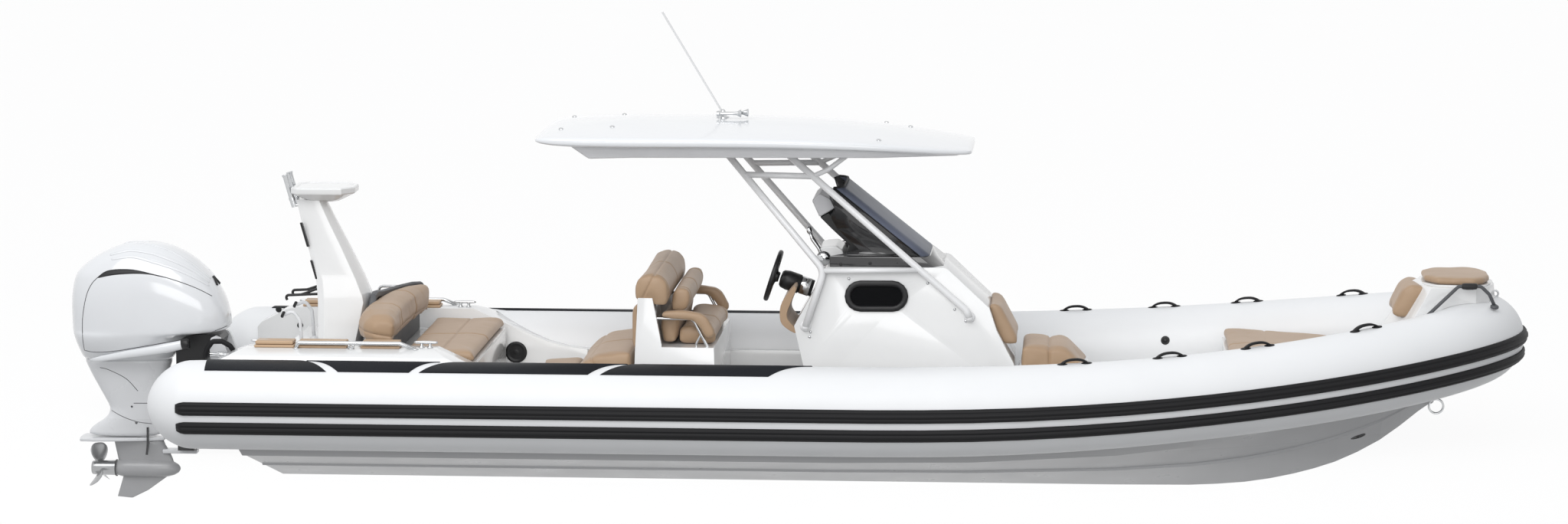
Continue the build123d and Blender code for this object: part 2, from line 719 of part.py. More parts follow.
HELM_IN = 598.0
LOUNGE_Z = 350.0      # top of the base under the aft-facing lounge cushion
LOUNGE_PAD = (
    (1765, LOUNGE_Z + SEAT), (1755, 388), (1795, 405), (2100, 452), (2228, 560), (2330, 618), (2470, 622),
    (2470, LOUNGE_Z + SEAT),
)
HELM_FIN = ((2572, 600), (2596, 1029), (2700, 1029), (2765, 690), (2765, 600))
HELM_BOX = ((2560, DECK_Z), (2572, 600), (2576, 675), (3140, 675), (3150, DECK_Z))
BOLSTER = (
    (2577, 1118), (2592, 1173), (2640, 1191), (2735, 1191), (2785, 1145), (2815, 1063), (2815, 1001),
    (2728, 981), (2712, 1029), (2600, 1029),
)


def helm_base():
    box = side_plate(HELM_BOX, -HELM_HALF, HELM_HALF)
    fin = side_plate(HELM_FIN, HELM_HALF - 60, HELM_HALF)
    back = side_plate([(2574, 660), (2590, 920), (2630, 920), (2630, 660)], -HELM_HALF + 50, HELM_HALF - 50)
    return box + fin + mirrored(fin) + back


def armrest_pad():
    profile = [
        (2795, 885), (2795, 935), (2825, 948), (3020, 948), (3075, 925), (3155, 775), (3140, 728), (3090, 728),
        (3020, 850), (2990, 880)]
    return side_plate(profile, 612, 672)


def armrest_frame():
    y = 642.0
    rail = rod([(2715, y, 876), (2985, y, 876), (3098, y, 660)], 11, 45)
    stay = rod([(3046, y, 768), (3010, y, 700), (3010, y, 660)], 8, 20)
    return rail + stay


FRONT_SEAT_Z = 450.0
FRONT_SEAT_HALF = 325.0
FRONT_SEAT_X0 = 5300.0
FRONT_LID_X0 = 5318.0
FRONT_HINGE_X = 5806.0
FRONT_PAD = (
    (FRONT_LID_X0, FRONT_SEAT_Z + LID_T + SEAT), (FRONT_LID_X0, 632), (5340, 648), (5470, 642), (5528, 628),
    (5600, 640), (5655, 622), (5725, 552), (5800, 482), (5812, FRONT_SEAT_Z + LID_T + SEAT),
)
FRONT_BACK = (
    (5200, 655), (5305, 655), (5300, 695), (5252, 785), (5168, 940), (5128, 966), (5096, 962), (5080, 935),
)

# --- bow ---------------------------------------------------------------------------------

BOW_LOCKER_TOP = 545.0
BOW_HINGE_X = 7600.0
BOW_LID = ((6795, 800), (7200, 670), (7450, 570), (BOW_HINGE_X - 4, 480))
BOW_CUSHION = 80.0
POD_Z = 1110.0
POD_LOW = ((7800, 6), (7930, 260), (7960, 390), (8560, 330), (8700, 230), (8745, 100))
POD_HIGH = ((8130, 6), (8215, 260), (8240, 385), (8560, 345), (8650, 265), (8705, 100))
POD_LOW_Z = 600.0
POD_HINGE_X = 8690.0
BOW_LID_PAD = ((8192, 150), (8282, 290), (8555, 328), (8632, 255), (POD_HINGE_X - 10, 120))
POD_PAD = 62.0        # top of the pod's pad over the pod
LEAN_PAD = ((7983, 903), (8063, 1072), (8120, 1105), (8200, 1085), (8219, 1068), (8100, 882), (8035, 878))
LEAN_PAD_HALF = 220.0
EYE_X, EYE_Z, EYE_R, EYE_BAR = 8312.0, 205.0, 52.0, 9.0
STEM_RING = (8724.0, 0.0, 1021.0)
STEM_RING_R, STEM_RING_BAR = 24.0, 7.0
STRAP = ((8200, 520, 940), (8440, 338, 1118), (8505, 345, 1100), (8660, 330, 985))


def bow_locker(hull, tubes):
    plan = symmetric([(6800, 860), (7200, 780), (7640, 640)])
    cavity = symmetric([(6830, 690), (7200, 570), (7550, 430)])
    return biggest(locker(plan, cavity, DECK_Z, BOW_LOCKER_TOP, 400) - hull - tubes[0] - tubes[1])


def lean_pad():
    """Pad let into the sloping aft face of the pod."""
    return side_plate(LEAN_PAD, -LEAN_PAD_HALF, LEAN_PAD_HALF)


def bow_pod(hull, tubes):
    low = face([(x, y, POD_LOW_Z) for x, y in symmetric(POD_LOW)])
    high = face([(x, y, POD_Z) for x, y in symmetric(POD_HIGH)])
    foot = plan_plate(symmetric(POD_LOW), 330, POD_LOW_Z)
    well = plan_plate(symmetric([(8260, 190), (8500, 170), (8560, 110)]), 820, POD_Z + 10)
    return biggest((loft([low, high], ruled=True) + foot) - well - lean_pad() - hull - tubes[0] - tubes[1])


def handle(x, tube):
    """Arched strap handle seated on top of the port tube."""
    reach = BOW_TIP - BOW_START
    share = min(1.0, max(0.0, (x - BOW_START) / reach))
    heading = atan2(TUBE_Y * share, reach * sqrt(1 - share ** 2))
    plane = tube_plane(x, tube_y(x), heading)
    span, rise, thick, width = 108.0, 40.0, 17.0, 38.0
    top = tube_radius(x) - 8
    arch = make_face([
        ThreePointArc((-span, top), (0, top + rise + 6), (span, top)),
        Line((span, top), (span - 38, top)),
        ThreePointArc((span - 38, top), (0, top + rise + 6 - thick), (-span + 38, top)),
        Line((-span + 38, top), (-span, top))])
    upright = Plane(origin=plane.origin - plane.x_dir * (width / 2), x_dir=plane.z_dir, z_dir=plane.x_dir * 1)
    if (upright.y_dir.dot(plane.y_dir)) < 0:
        upright = Plane(origin=plane.origin + plane.x_dir * (width / 2), x_dir=plane.z_dir, z_dir=plane.x_dir * -1)
    return extrude(upright * arch, amount=width) - tube


HANDLES_X = (5730, 6400, 7020, 7790)


def cleat(x, y, z):
    base = Pos(x, y, z + 5) * Box(110, 34, 10)
    posts = Pos(x - 28, y, z + 20) * Box(14, 16, 26) + Pos(x + 28, y, z + 20) * Box(14, 16, 26)
    bar = Pos(x, y, z + 38) * Rot(0, 90, 0) * Cylinder(9, 170)
    return base + posts + bar


def main():
    port = collar_tube()
    starboard = mirrored(port)
    tubes = (port, starboard)
    save("tube_port", port)
    save("tube_starboard", starboard)
    save("rubbing_strakes", strake(4.0), strake(-22.0))
    save("tread_strips", *[s for strip in tread_strips() for s in both(strip)])
    hull = hull_solid(tubes)
    save("hull", hull)
    aft_deck = block(-60, BENCH_X0, -COAMING_IN, COAMING_IN, DECK_Z, AFT_DECK_Z)
    stern = stern_moulding(hull, tubes) + aft_deck
    save("stern_moulding", stern)
    save("deck", deck_plate(hull, tubes) - stern)
    save("tube_handles", *[s for x in HANDLES_X for s in both(handle(x, port))])
    side = coaming(port, hull)
    save("coaming_port", side)
    save("coaming_starboard", mirrored(side))
    pads = [(-250, -20), (230, 480), (560, 930)]
    save("coaming_pads", *[s for x0, x1 in pads
                           for s in both(block(x0, x1, 925, 1060, COAMING_TOP + SEAT, COAMING_TOP + 16))])
    save("cleats", *[s for x in (60, 1120) for s in both(cleat(x, 1030, COAMING_TOP))])
    high = COAMING_TOP + 40
    rail = rod([(150, 990, COAMING_TOP), (150, 990, high), (1000, 990, high), (1070, 990, COAMING_TOP)], RAIL_R, 20)
    save("stern_rails", *both(rail - side))

    column = mast_with_platform()
    save("mast", column)
    save("rod_holders", *both(rod_holder() - column))
    save("bench_base", bench_base())
    lid_half = BENCH_HALF - 10
    save("bench_lid", block(BENCH_HINGE_X, BENCH_X1, -lid_half, lid_half, BENCH_Z + LID_GAP, BENCH_Z + LID_T))
    save("bench_cushion", side_plate(BENCH_PAD, -lid_half, lid_half))
    shell = bench_shell()
    save("bench_shell", shell - column)
    pad = loft([crescent(*BENCH_PAD_LOW), crescent(*BENCH_PAD_HIGH)], ruled=True)
    save("bench_backrest", pad - shell - column)

    save("engine_cowl", engine_cowl())
    save("engine_leg", engine_leg())
    save("gearcase", gearcase())
    save("propeller", propeller())
    save("clamp_bracket", clamp_bracket())
    save("swivel_bracket", swivel_bracket())

    outer = console_outer()
    shell = console_shell()
    console = shell - window_hole(-1) - door_prism(0)
    door = (shell & door_prism(RUN)) - window_hole(1)
    for z in DOOR_HINGES_Z:
        fixed, swinging = door_hinge(z)
        console, door = console + fixed, door + swinging
    save("console", console)
    save("console_door", door)
    save("window_glass_starboard", window_glass(-1))
    save("window_glass_door", window_glass(1))
    save("windscreen", windscreen())
    save("windscreen_base", windscreen_base())
    save("dash", side_plate(DASH, -290, 290), helm_column(outer))
    save("steering_wheel", steering_wheel())
    roof = roof_shell()
    liner = (side_plate(LINER, -ROOF_HALF, ROOF_HALF) & plan_plate(symmetric(LINER_PLAN), 1900, 2300)) - roof
    save("roof", roof)
    save("roof_liner", liner)
    legs = roof_legs(roof, liner, outer)
    save("roof_legs_port", legs)
    save("roof_legs_starboard", mirrored(legs))
    ax, ay, az = ANTENNA_BASE
    mount = Pos(ax, ay, az + 8) * Cylinder(32, 16) + block(ax - 16, ax + 16, -22, -12, az + 10, az + 52)
    mount = mount + block(ax - 16, ax + 16, 12, 22, az + 10, az + 52)
    pivot = Pos(ax, ay, az + 34) * Rot(90, 0, 0) * Cylinder(5, 44)
    horn = Pos(3275, -60, 2288) * Rot(0, 90, 0) * Cone(16, 30, 120) + block(3250, 3290, -75, -45, 2235, 2286)
    save("roof_fittings", (mount + pivot) - roof, horn - roof)
    lean = radians(31)
    top = (ax - 850 * sin(lean), 0, az + 34 + 850 * cos(lean))
    whip = Line((ax, 0, az + 34), top)
    stick = sweep(Plane(origin=whip @ 0, z_dir=whip % 0) * Circle(7), path=whip)
    eye = Pos(ax, ay, az + 34) * Rot(90, 0, 0) * Cylinder(11, 18)
    save("antenna", (stick + eye) - Pos(ax, ay, az + 34) * Rot(90, 0, 0) * Cylinder(5 + PIN_FIT, 60))
    seat = helm_base() + block(1800, 2570, -600, 600, DECK_Z, LOUNGE_Z)
    save("helm_base", seat)
    save("helm_bolster", side_plate([(x, z + SEAT) for x, z in BOLSTER], -HELM_HALF, HELM_HALF))
    save("helm_cushions", block(2645, 2700, -HELM_IN, HELM_IN, 675 + SEAT, 955),
         side_plate([(2835, 675 + SEAT), (2825, 1000), (2850, 1042), (2925, 1042), (2950, 1010), (2945, 675 + SEAT)], -HELM_IN, HELM_IN),
         block(2955, 3150, -HELM_IN, HELM_IN, 675 + SEAT, 800))
    save("armrest_pads", *both(armrest_pad()))
    save("armrest_frames", *both(armrest_frame() - armrest_pad() - seat))
    save("lounge_cushions", side_plate(LOUNGE_PAD, -600, 600),
         side_plate([(2505, 590), (2520, 960), (2545, 985), (2610, 975), (2600, 600)], -620, 620) - seat)

    front, half = FRONT_HINGE_X - 6, FRONT_SEAT_HALF
    save("front_seat_base", locker(
        rectangle(FRONT_SEAT_X0, front, half), rectangle(FRONT_LID_X0 + WALL, front - WALL, half - WALL),
        DECK_Z, FRONT_SEAT_Z, DECK_Z + WALL))
    save("front_seat_lid", block(FRONT_LID_X0, FRONT_HINGE_X, -half, half, FRONT_SEAT_Z + LID_GAP, FRONT_SEAT_Z + LID_T))
    save("front_seat_cushion", side_plate(FRONT_PAD, -half, half))
    save("front_backrest", side_plate(FRONT_BACK, -half, half) - outer)

    save("bow_locker", bow_locker(hull, tubes))
    save("bow_lid", plan_plate(symmetric(BOW_LID), BOW_LOCKER_TOP + LID_GAP, BOW_LOCKER_TOP + LID_T))
    z = BOW_LOCKER_TOP + LID_T + SEAT
    save("bow_cushion", plan_plate(symmetric(BOW_LID), z, z + BOW_CUSHION))
    pod = bow_pod(hull, tubes)
    save("bow_pod", pod)
    save("pod_lid", plan_plate(symmetric(BOW_LID_PAD), POD_Z + LID_GAP, POD_Z + 12))
    save("pod_cushion", plan_plate(symmetric(BOW_LID_PAD), POD_Z + 12 + SEAT, POD_Z + POD_PAD))
    save("lean_pad", lean_pad())
    eye = Pos(EYE_X, 0, EYE_Z) * Rot(90, 0, 0) * Torus(EYE_R, EYE_BAR)
    save("bow_eye", eye - hull - port - starboard)
    save("bow_rails", *both(biggest(rod(STRAP, 10, 30) - port - pod)))
    x, y, z = STEM_RING
    ring = Pos(x, y, z) * Rot(90, 0, 0) * Torus(STEM_RING_R, STEM_RING_BAR) + block(x - 40, x - 14, -16, 16, z - 22, z + 22)
    save("stem_ring", ring - pod - port - starboard)


main()
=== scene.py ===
# %% [markdown]
# A rigid inflatable boat, dressed for a picture.
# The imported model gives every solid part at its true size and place, in metres: X runs forward,
# Y runs to port and Z is up, with zero at the waterline. This notebook keeps the solids whose
# shape is already right and gives them real finishes, and models again the pieces whose beauty is
# in small curves: tubes, cushions, engine cowl, pipes and fittings.

# %% Load the frame
import bmesh
import bpy
from math import atan2, cos, pi, radians, sin, tan
from mathutils import Matrix, Vector


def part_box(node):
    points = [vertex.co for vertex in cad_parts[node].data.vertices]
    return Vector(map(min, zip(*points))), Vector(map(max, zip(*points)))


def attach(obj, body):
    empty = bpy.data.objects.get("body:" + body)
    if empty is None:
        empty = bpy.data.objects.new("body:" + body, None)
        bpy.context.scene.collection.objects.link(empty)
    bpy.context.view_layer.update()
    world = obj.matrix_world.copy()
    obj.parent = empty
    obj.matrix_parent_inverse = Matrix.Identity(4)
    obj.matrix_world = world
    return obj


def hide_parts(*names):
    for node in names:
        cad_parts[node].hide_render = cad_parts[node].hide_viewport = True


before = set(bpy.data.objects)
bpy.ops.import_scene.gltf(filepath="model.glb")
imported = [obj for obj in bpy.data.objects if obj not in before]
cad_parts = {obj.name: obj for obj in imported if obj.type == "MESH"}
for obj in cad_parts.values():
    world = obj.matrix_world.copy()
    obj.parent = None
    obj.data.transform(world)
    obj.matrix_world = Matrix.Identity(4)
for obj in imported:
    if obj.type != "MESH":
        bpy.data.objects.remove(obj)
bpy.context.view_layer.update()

# %% [markdown]
# The camera stands off the starboard side, a little ahead of the middle and about six metres up,
# with a long lens. A long lens keeps the far tube almost parallel to the near one, which is how a
# boat's profile is usually shown. It could be aimed with a tracking constraint, but a fixed
# direction turned into a rotation is easier to check by number.

# %% Camera
CAMERA_PLACE = Vector((5.79, -31.8, 5.625))
CAMERA_HEADING = radians(3.95)      # aim, turned aft of straight abeam
CAMERA_PITCH = radians(7.9)         # aim, below the horizon
CAMERA_LENS = 101.6

aim = Vector((
    -sin(CAMERA_HEADING) * cos(CAMERA_PITCH),
    cos(CAMERA_HEADING) * cos(CAMERA_PITCH),
    -sin(CAMERA_PITCH)))
camera_data = bpy.data.cameras.new("profile_camera")
camera_data.lens = CAMERA_LENS
camera_data.sensor_fit = "HORIZONTAL"
camera_data.sensor_width = 36
camera_data.clip_end = 500
camera = bpy.data.objects.new("profile_camera", camera_data)
camera.location = CAMERA_PLACE
camera.rotation_euler = aim.to_track_quat("-Z", "Y").to_euler()
bpy.context.scene.collection.objects.link(camera)
bpy.context.scene.camera = camera
print("camera at", tuple(round(v, 2) for v in CAMERA_PLACE))

# %% [markdown]
# Plain studio light. A white boat has no colour of its own to show its form, only shade, so the
# light has to come from one side: high, from the starboard quarter. Faces towards it are white,
# faces towards the bow fall darker, and undersides go grey. A large soft lamp does that, and a
# second, weaker one from the side keeps upright white faces from going grey.
# The world fills the shadows, brighter from above than from below, like a white room over a dark
# floor. It looks white only to rays from the camera, to mirror-like rays and to rays through
# glass, so the background is white without adding light to the boat.

# %% Lamps and world
def add_lamp(name, place, target, size, watts):
    data = bpy.data.lights.new(name, "AREA")
    data.shape = "RECTANGLE"
    data.size, data.size_y = size
    data.energy = watts
    lamp = bpy.data.objects.new(name, data)
    lamp.location = place
    lamp.rotation_euler = (Vector(target) - Vector(place)).to_track_quat("-Z", "Y").to_euler()
    bpy.context.scene.collection.objects.link(lamp)
    return lamp


add_lamp("key_lamp", (-1.0, -12.0, 12.0), (4.0, 0.0, 0.6), (16.0, 8.0), 1190)
add_lamp("side_lamp", (4.0, -16.0, 4.0), (4.0, 0.0, 0.6), (14.0, 4.0), 500)

FILL_ABOVE, FILL_BELOW = 0.92, 0.3
world = bpy.data.worlds.new("studio_world")
bpy.context.scene.world = world
world.use_nodes = True
sky = world.node_tree.nodes
sky.clear()
sky_links = world.node_tree.links
direction = sky.new("ShaderNodeTexCoord")
axes = sky.new("ShaderNodeSeparateXYZ")
height = sky.new("ShaderNodeMapRange")
height.interpolation_type = "SMOOTHSTEP"
height.inputs["From Min"].default_value, height.inputs["From Max"].default_value = -0.35, 0.45
height.inputs["To Min"].default_value, height.inputs["To Max"].default_value = FILL_BELOW, FILL_ABOVE
sky_links.new(direction.outputs["Generated"], axes.inputs[0])
sky_links.new(axes.outputs["Z"], height.inputs["Value"])
ahead = sky.new("ShaderNodeMapRange")
ahead.inputs["From Min"].default_value, ahead.inputs["From Max"].default_value = -0.1, 1.0
ahead.inputs["To Min"].default_value, ahead.inputs["To Max"].default_value = 1.0, 0.55
shaded = sky.new("ShaderNodeMath")
shaded.operation = "MULTIPLY"
sky_links.new(axes.outputs["X"], ahead.inputs["Value"])
sky_links.new(height.outputs["Result"], shaded.inputs[0])
sky_links.new(ahead.outputs["Result"], shaded.inputs[1])
fill = sky.new("ShaderNodeBackground")
fill.inputs["Color"].default_value = (0.95, 0.97, 1.0, 1)
sky_links.new(shaded.outputs[0], fill.inputs["Strength"])
seen = sky.new("ShaderNodeBackground")
seen.inputs["Color"].default_value = (1, 1, 1, 1)
seen.inputs["Strength"].default_value = 1.0
path = sky.new("ShaderNodeLightPath")
either = sky.new("ShaderNodeMath")
either.operation = "MAXIMUM"
also = sky.new("ShaderNodeMath")
also.operation = "MAXIMUM"
choice = sky.new("ShaderNodeMixShader")
world_out = sky.new("ShaderNodeOutputWorld")
sky_links.new(path.outputs["Is Camera Ray"], either.inputs[0])
sky_links.new(path.outputs["Is Glossy Ray"], either.inputs[1])
sky_links.new(either.outputs[0], also.inputs[0])
sky_links.new(path.outputs["Is Transmission Ray"], also.inputs[1])
sky_links.new(also.outputs[0], choice.inputs["Fac"])
sky_links.new(fill.outputs[0], choice.inputs[1])
sky_links.new(seen.outputs[0], choice.inputs[2])
sky_links.new(choice.outputs[0], world_out.inputs["Surface"])
bpy.context.scene.view_settings.view_transform = "Standard"

# %% [markdown]
# The floor is a thin pale sheet at the waterline, where the water's surface would be. A solid
# floor would hide the bottom, so this one is nearly clear to the camera, like still water, and
# holds back only enough light to keep a faint shadow beside the hull.

# %% Floor at the waterline
def plain_material(name):
    material = bpy.data.materials.new(name)
    material.use_nodes = True
    tree = material.node_tree
    tree.nodes.clear()
    return material, tree.nodes, tree.links


floor_finish, nodes, links = plain_material("pale_water_sheet")
veil = nodes.new("ShaderNodeMixShader")
clear = nodes.new("ShaderNodeBsdfTransparent")
pale = nodes.new("ShaderNodeBsdfDiffuse")
pale.inputs["Color"].default_value = (0.9, 0.9, 0.9, 1)
floor_out = nodes.new("ShaderNodeOutputMaterial")
veil.inputs["Fac"].default_value = 0.06
links.new(clear.outputs[0], veil.inputs[1])
links.new(pale.outputs[0], veil.inputs[2])
links.new(veil.outputs[0], floor_out.inputs["Surface"])
sheet = bmesh.new()
bmesh.ops.create_grid(sheet, x_segments=8, y_segments=8, size=60)
floor_mesh = bpy.data.meshes.new("studio_floor")
sheet.to_mesh(floor_mesh)
sheet.free()
floor_mesh.materials.append(floor_finish)
floor = bpy.data.objects.new("studio_floor", floor_mesh)
bpy.context.scene.collection.objects.link(floor)
print("floor at z = 0")

# %% [markdown]
# Shader groups. A real surface is never one flat value: moulded gelcoat has slow waves, vinyl has
# a pebbled hide, coated fabric a fine weave, and all of them gather a little dust. Each of these
# effects is built once as a node group that puts out a mask or a height, so every finish can use
# it at its own scale. The patterns could be painted images, but procedural ones stay sharp at any
# distance and need no unwrapping.

# %% Group helpers
def new_group(name, inputs, outputs):
    """A shader group with float inputs {name: default} and float outputs."""
    tree = bpy.data.node_groups.new(name, "ShaderNodeTree")
    for label, value in inputs.items():
        socket = tree.interface.new_socket(name=label, in_out="INPUT", socket_type="NodeSocketFloat")
        socket.default_value = value
    for label in outputs:
        tree.interface.new_socket(name=label, in_out="OUTPUT", socket_type="NodeSocketFloat")
    start = tree.nodes.new("NodeGroupInput")
    end = tree.nodes.new("NodeGroupOutput")
    return tree, start, end


def add_math(tree, operation, a, b):
    """A Math node fed by sockets or plain numbers; returns its output."""
    node = tree.nodes.new("ShaderNodeMath")
    node.operation = operation
    for index, value in enumerate((a, b)):
        if isinstance(value, (int, float)):
            node.inputs[index].default_value = value
        else:
            tree.links.new(value, node.inputs[index])
    return node.outputs[0]


def object_noise(tree, scale, detail, rough=0.5, stretch=(1, 1, 1)):
    """Noise on Object coordinates; scale is a socket or a number."""
    place = tree.nodes.new("ShaderNodeTexCoord")
    mapping = tree.nodes.new("ShaderNodeMapping")
    mapping.inputs["Scale"].default_value = stretch
    noise = tree.nodes.new("ShaderNodeTexNoise")
    noise.inputs["Detail"].default_value = detail
    noise.inputs["Roughness"].default_value = rough
    tree.links.new(place.outputs["Object"], mapping.inputs["Vector"])
    tree.links.new(mapping.outputs[0], noise.inputs["Vector"])
    if isinstance(scale, (int, float)):
        noise.inputs["Scale"].default_value = scale
    else:
        tree.links.new(scale, noise.inputs["Scale"])
    return noise.outputs["Fac"]


print("helpers ready")

# %% Patina, grain, hide, weave and planks
patina, start, end = new_group("patina", {"Scale": 3.0, "Contrast": 1.4}, ["Mask"])
broad = object_noise(patina, start.outputs["Scale"], 5, 0.6)
spread = add_math(patina, "SUBTRACT", broad, 0.5)
spread = add_math(patina, "MULTIPLY", spread, start.outputs["Contrast"])
mask = add_math(patina, "ADD", spread, 0.5)
limit = patina.nodes.new("ShaderNodeClamp")
patina.links.new(mask, limit.inputs["Value"])
patina.links.new(limit.outputs[0], end.inputs["Mask"])

grain, start, end = new_group("grain", {"Scale": 400.0, "Wave": 4.0}, ["Height"])
fine = object_noise(grain, start.outputs["Scale"], 3)
slow = object_noise(grain, start.outputs["Wave"], 1)
slow = add_math(grain, "MULTIPLY", slow, 6.0)
grain.links.new(add_math(grain, "ADD", fine, slow), end.inputs["Height"])

hide, start, end = new_group("hide", {"Scale": 260.0}, ["Height"])
place = hide.nodes.new("ShaderNodeTexCoord")
cells = hide.nodes.new("ShaderNodeTexVoronoi")
cells.feature = "DISTANCE_TO_EDGE"
hide.links.new(place.outputs["Object"], cells.inputs["Vector"])
hide.links.new(start.outputs["Scale"], cells.inputs["Scale"])
crease = add_math(hide, "MINIMUM", cells.outputs["Distance"], 0.25)
soft = object_noise(hide, 60.0, 4)
hide.links.new(add_math(hide, "ADD", crease, soft), end.inputs["Height"])

weave, start, end = new_group("weave", {"Scale": 900.0}, ["Height"])
place = weave.nodes.new("ShaderNodeTexCoord")
threads = []
for direction in ("X", "Z"):
    wave = weave.nodes.new("ShaderNodeTexWave")
    wave.bands_direction = direction
    weave.links.new(place.outputs["Object"], wave.inputs["Vector"])
    weave.links.new(start.outputs["Scale"], wave.inputs["Scale"])
    threads.append(wave.outputs["Fac"])
weave.links.new(add_math(weave, "MULTIPLY", threads[0], threads[1]), end.inputs["Height"])

planks, start, end = new_group("planks", {"Width": 0.045, "Gap": 0.09}, ["Gap", "Grain"])
place = planks.nodes.new("ShaderNodeTexCoord")
parts = planks.nodes.new("ShaderNodeSeparateXYZ")
planks.links.new(place.outputs["Object"], parts.inputs[0])
across = add_math(planks, "DIVIDE", parts.outputs["Y"], start.outputs["Width"])
cell = add_math(planks, "FRACT", across, 0.0)
planks.links.new(add_math(planks, "LESS_THAN", cell, start.outputs["Gap"]), end.inputs["Gap"])
planks.links.new(object_noise(planks, 30.0, 6, 0.7, (1, 14, 14)), end.inputs["Grain"])
GROUPS = {group.name: group for group in (patina, grain, hide, weave, planks)}
print("groups", sorted(GROUPS))

# %% [markdown]
# Finishes. Every finish mixes two close colours by the patina mask and lets roughness wander with
# it, then takes its small relief from one of the height groups. The values start from usual ones,
# such as white gelcoat that reflects about four fifths of the light, and were then set under
# these lamps.

# %% Finish maker
def new_finish(name, tint, shade, rough, relief=("grain", 400.0, 0.05), patch=(3.0, 1.4), metallic=0.0,
    coat=0.0, sheen=0.0, gloss=0.5):
    """A Principled material; relief is (group, scale, strength)."""
    material, nodes, links = plain_material(name)
    shader = nodes.new("ShaderNodeBsdfPrincipled")
    out = nodes.new("ShaderNodeOutputMaterial")
    links.new(shader.outputs[0], out.inputs["Surface"])
    shader.inputs["Metallic"].default_value = metallic
    shader.inputs["Coat Weight"].default_value = coat
    shader.inputs["Coat Roughness"].default_value = 0.08
    shader.inputs["Sheen Weight"].default_value = sheen
    shader.inputs["Specular IOR Level"].default_value = gloss
    worn = nodes.new("ShaderNodeGroup")
    worn.node_tree = GROUPS["patina"]
    worn.inputs["Scale"].default_value, worn.inputs["Contrast"].default_value = patch
    colour = nodes.new("ShaderNodeMix")
    colour.data_type = "RGBA"
    colour.inputs["A"].default_value = (*tint, 1)
    colour.inputs["B"].default_value = (*shade, 1)
    links.new(worn.outputs["Mask"], colour.inputs["Factor"])
    links.new(colour.outputs["Result"], shader.inputs["Base Color"])
    range_node = nodes.new("ShaderNodeMapRange")
    range_node.inputs["To Min"].default_value, range_node.inputs["To Max"].default_value = rough
    links.new(worn.outputs["Mask"], range_node.inputs["Value"])
    links.new(range_node.outputs["Result"], shader.inputs["Roughness"])
    kind, scale, strength = relief
    height = nodes.new("ShaderNodeGroup")
    height.node_tree = GROUPS[kind]
    height.inputs["Scale"].default_value = scale
    bump = nodes.new("ShaderNodeBump")
    bump.inputs["Strength"].default_value = strength
    bump.inputs["Distance"].default_value = 0.001
    links.new(height.outputs["Height"], bump.inputs["Height"])
    links.new(bump.outputs[0], shader.inputs["Normal"])
    return material


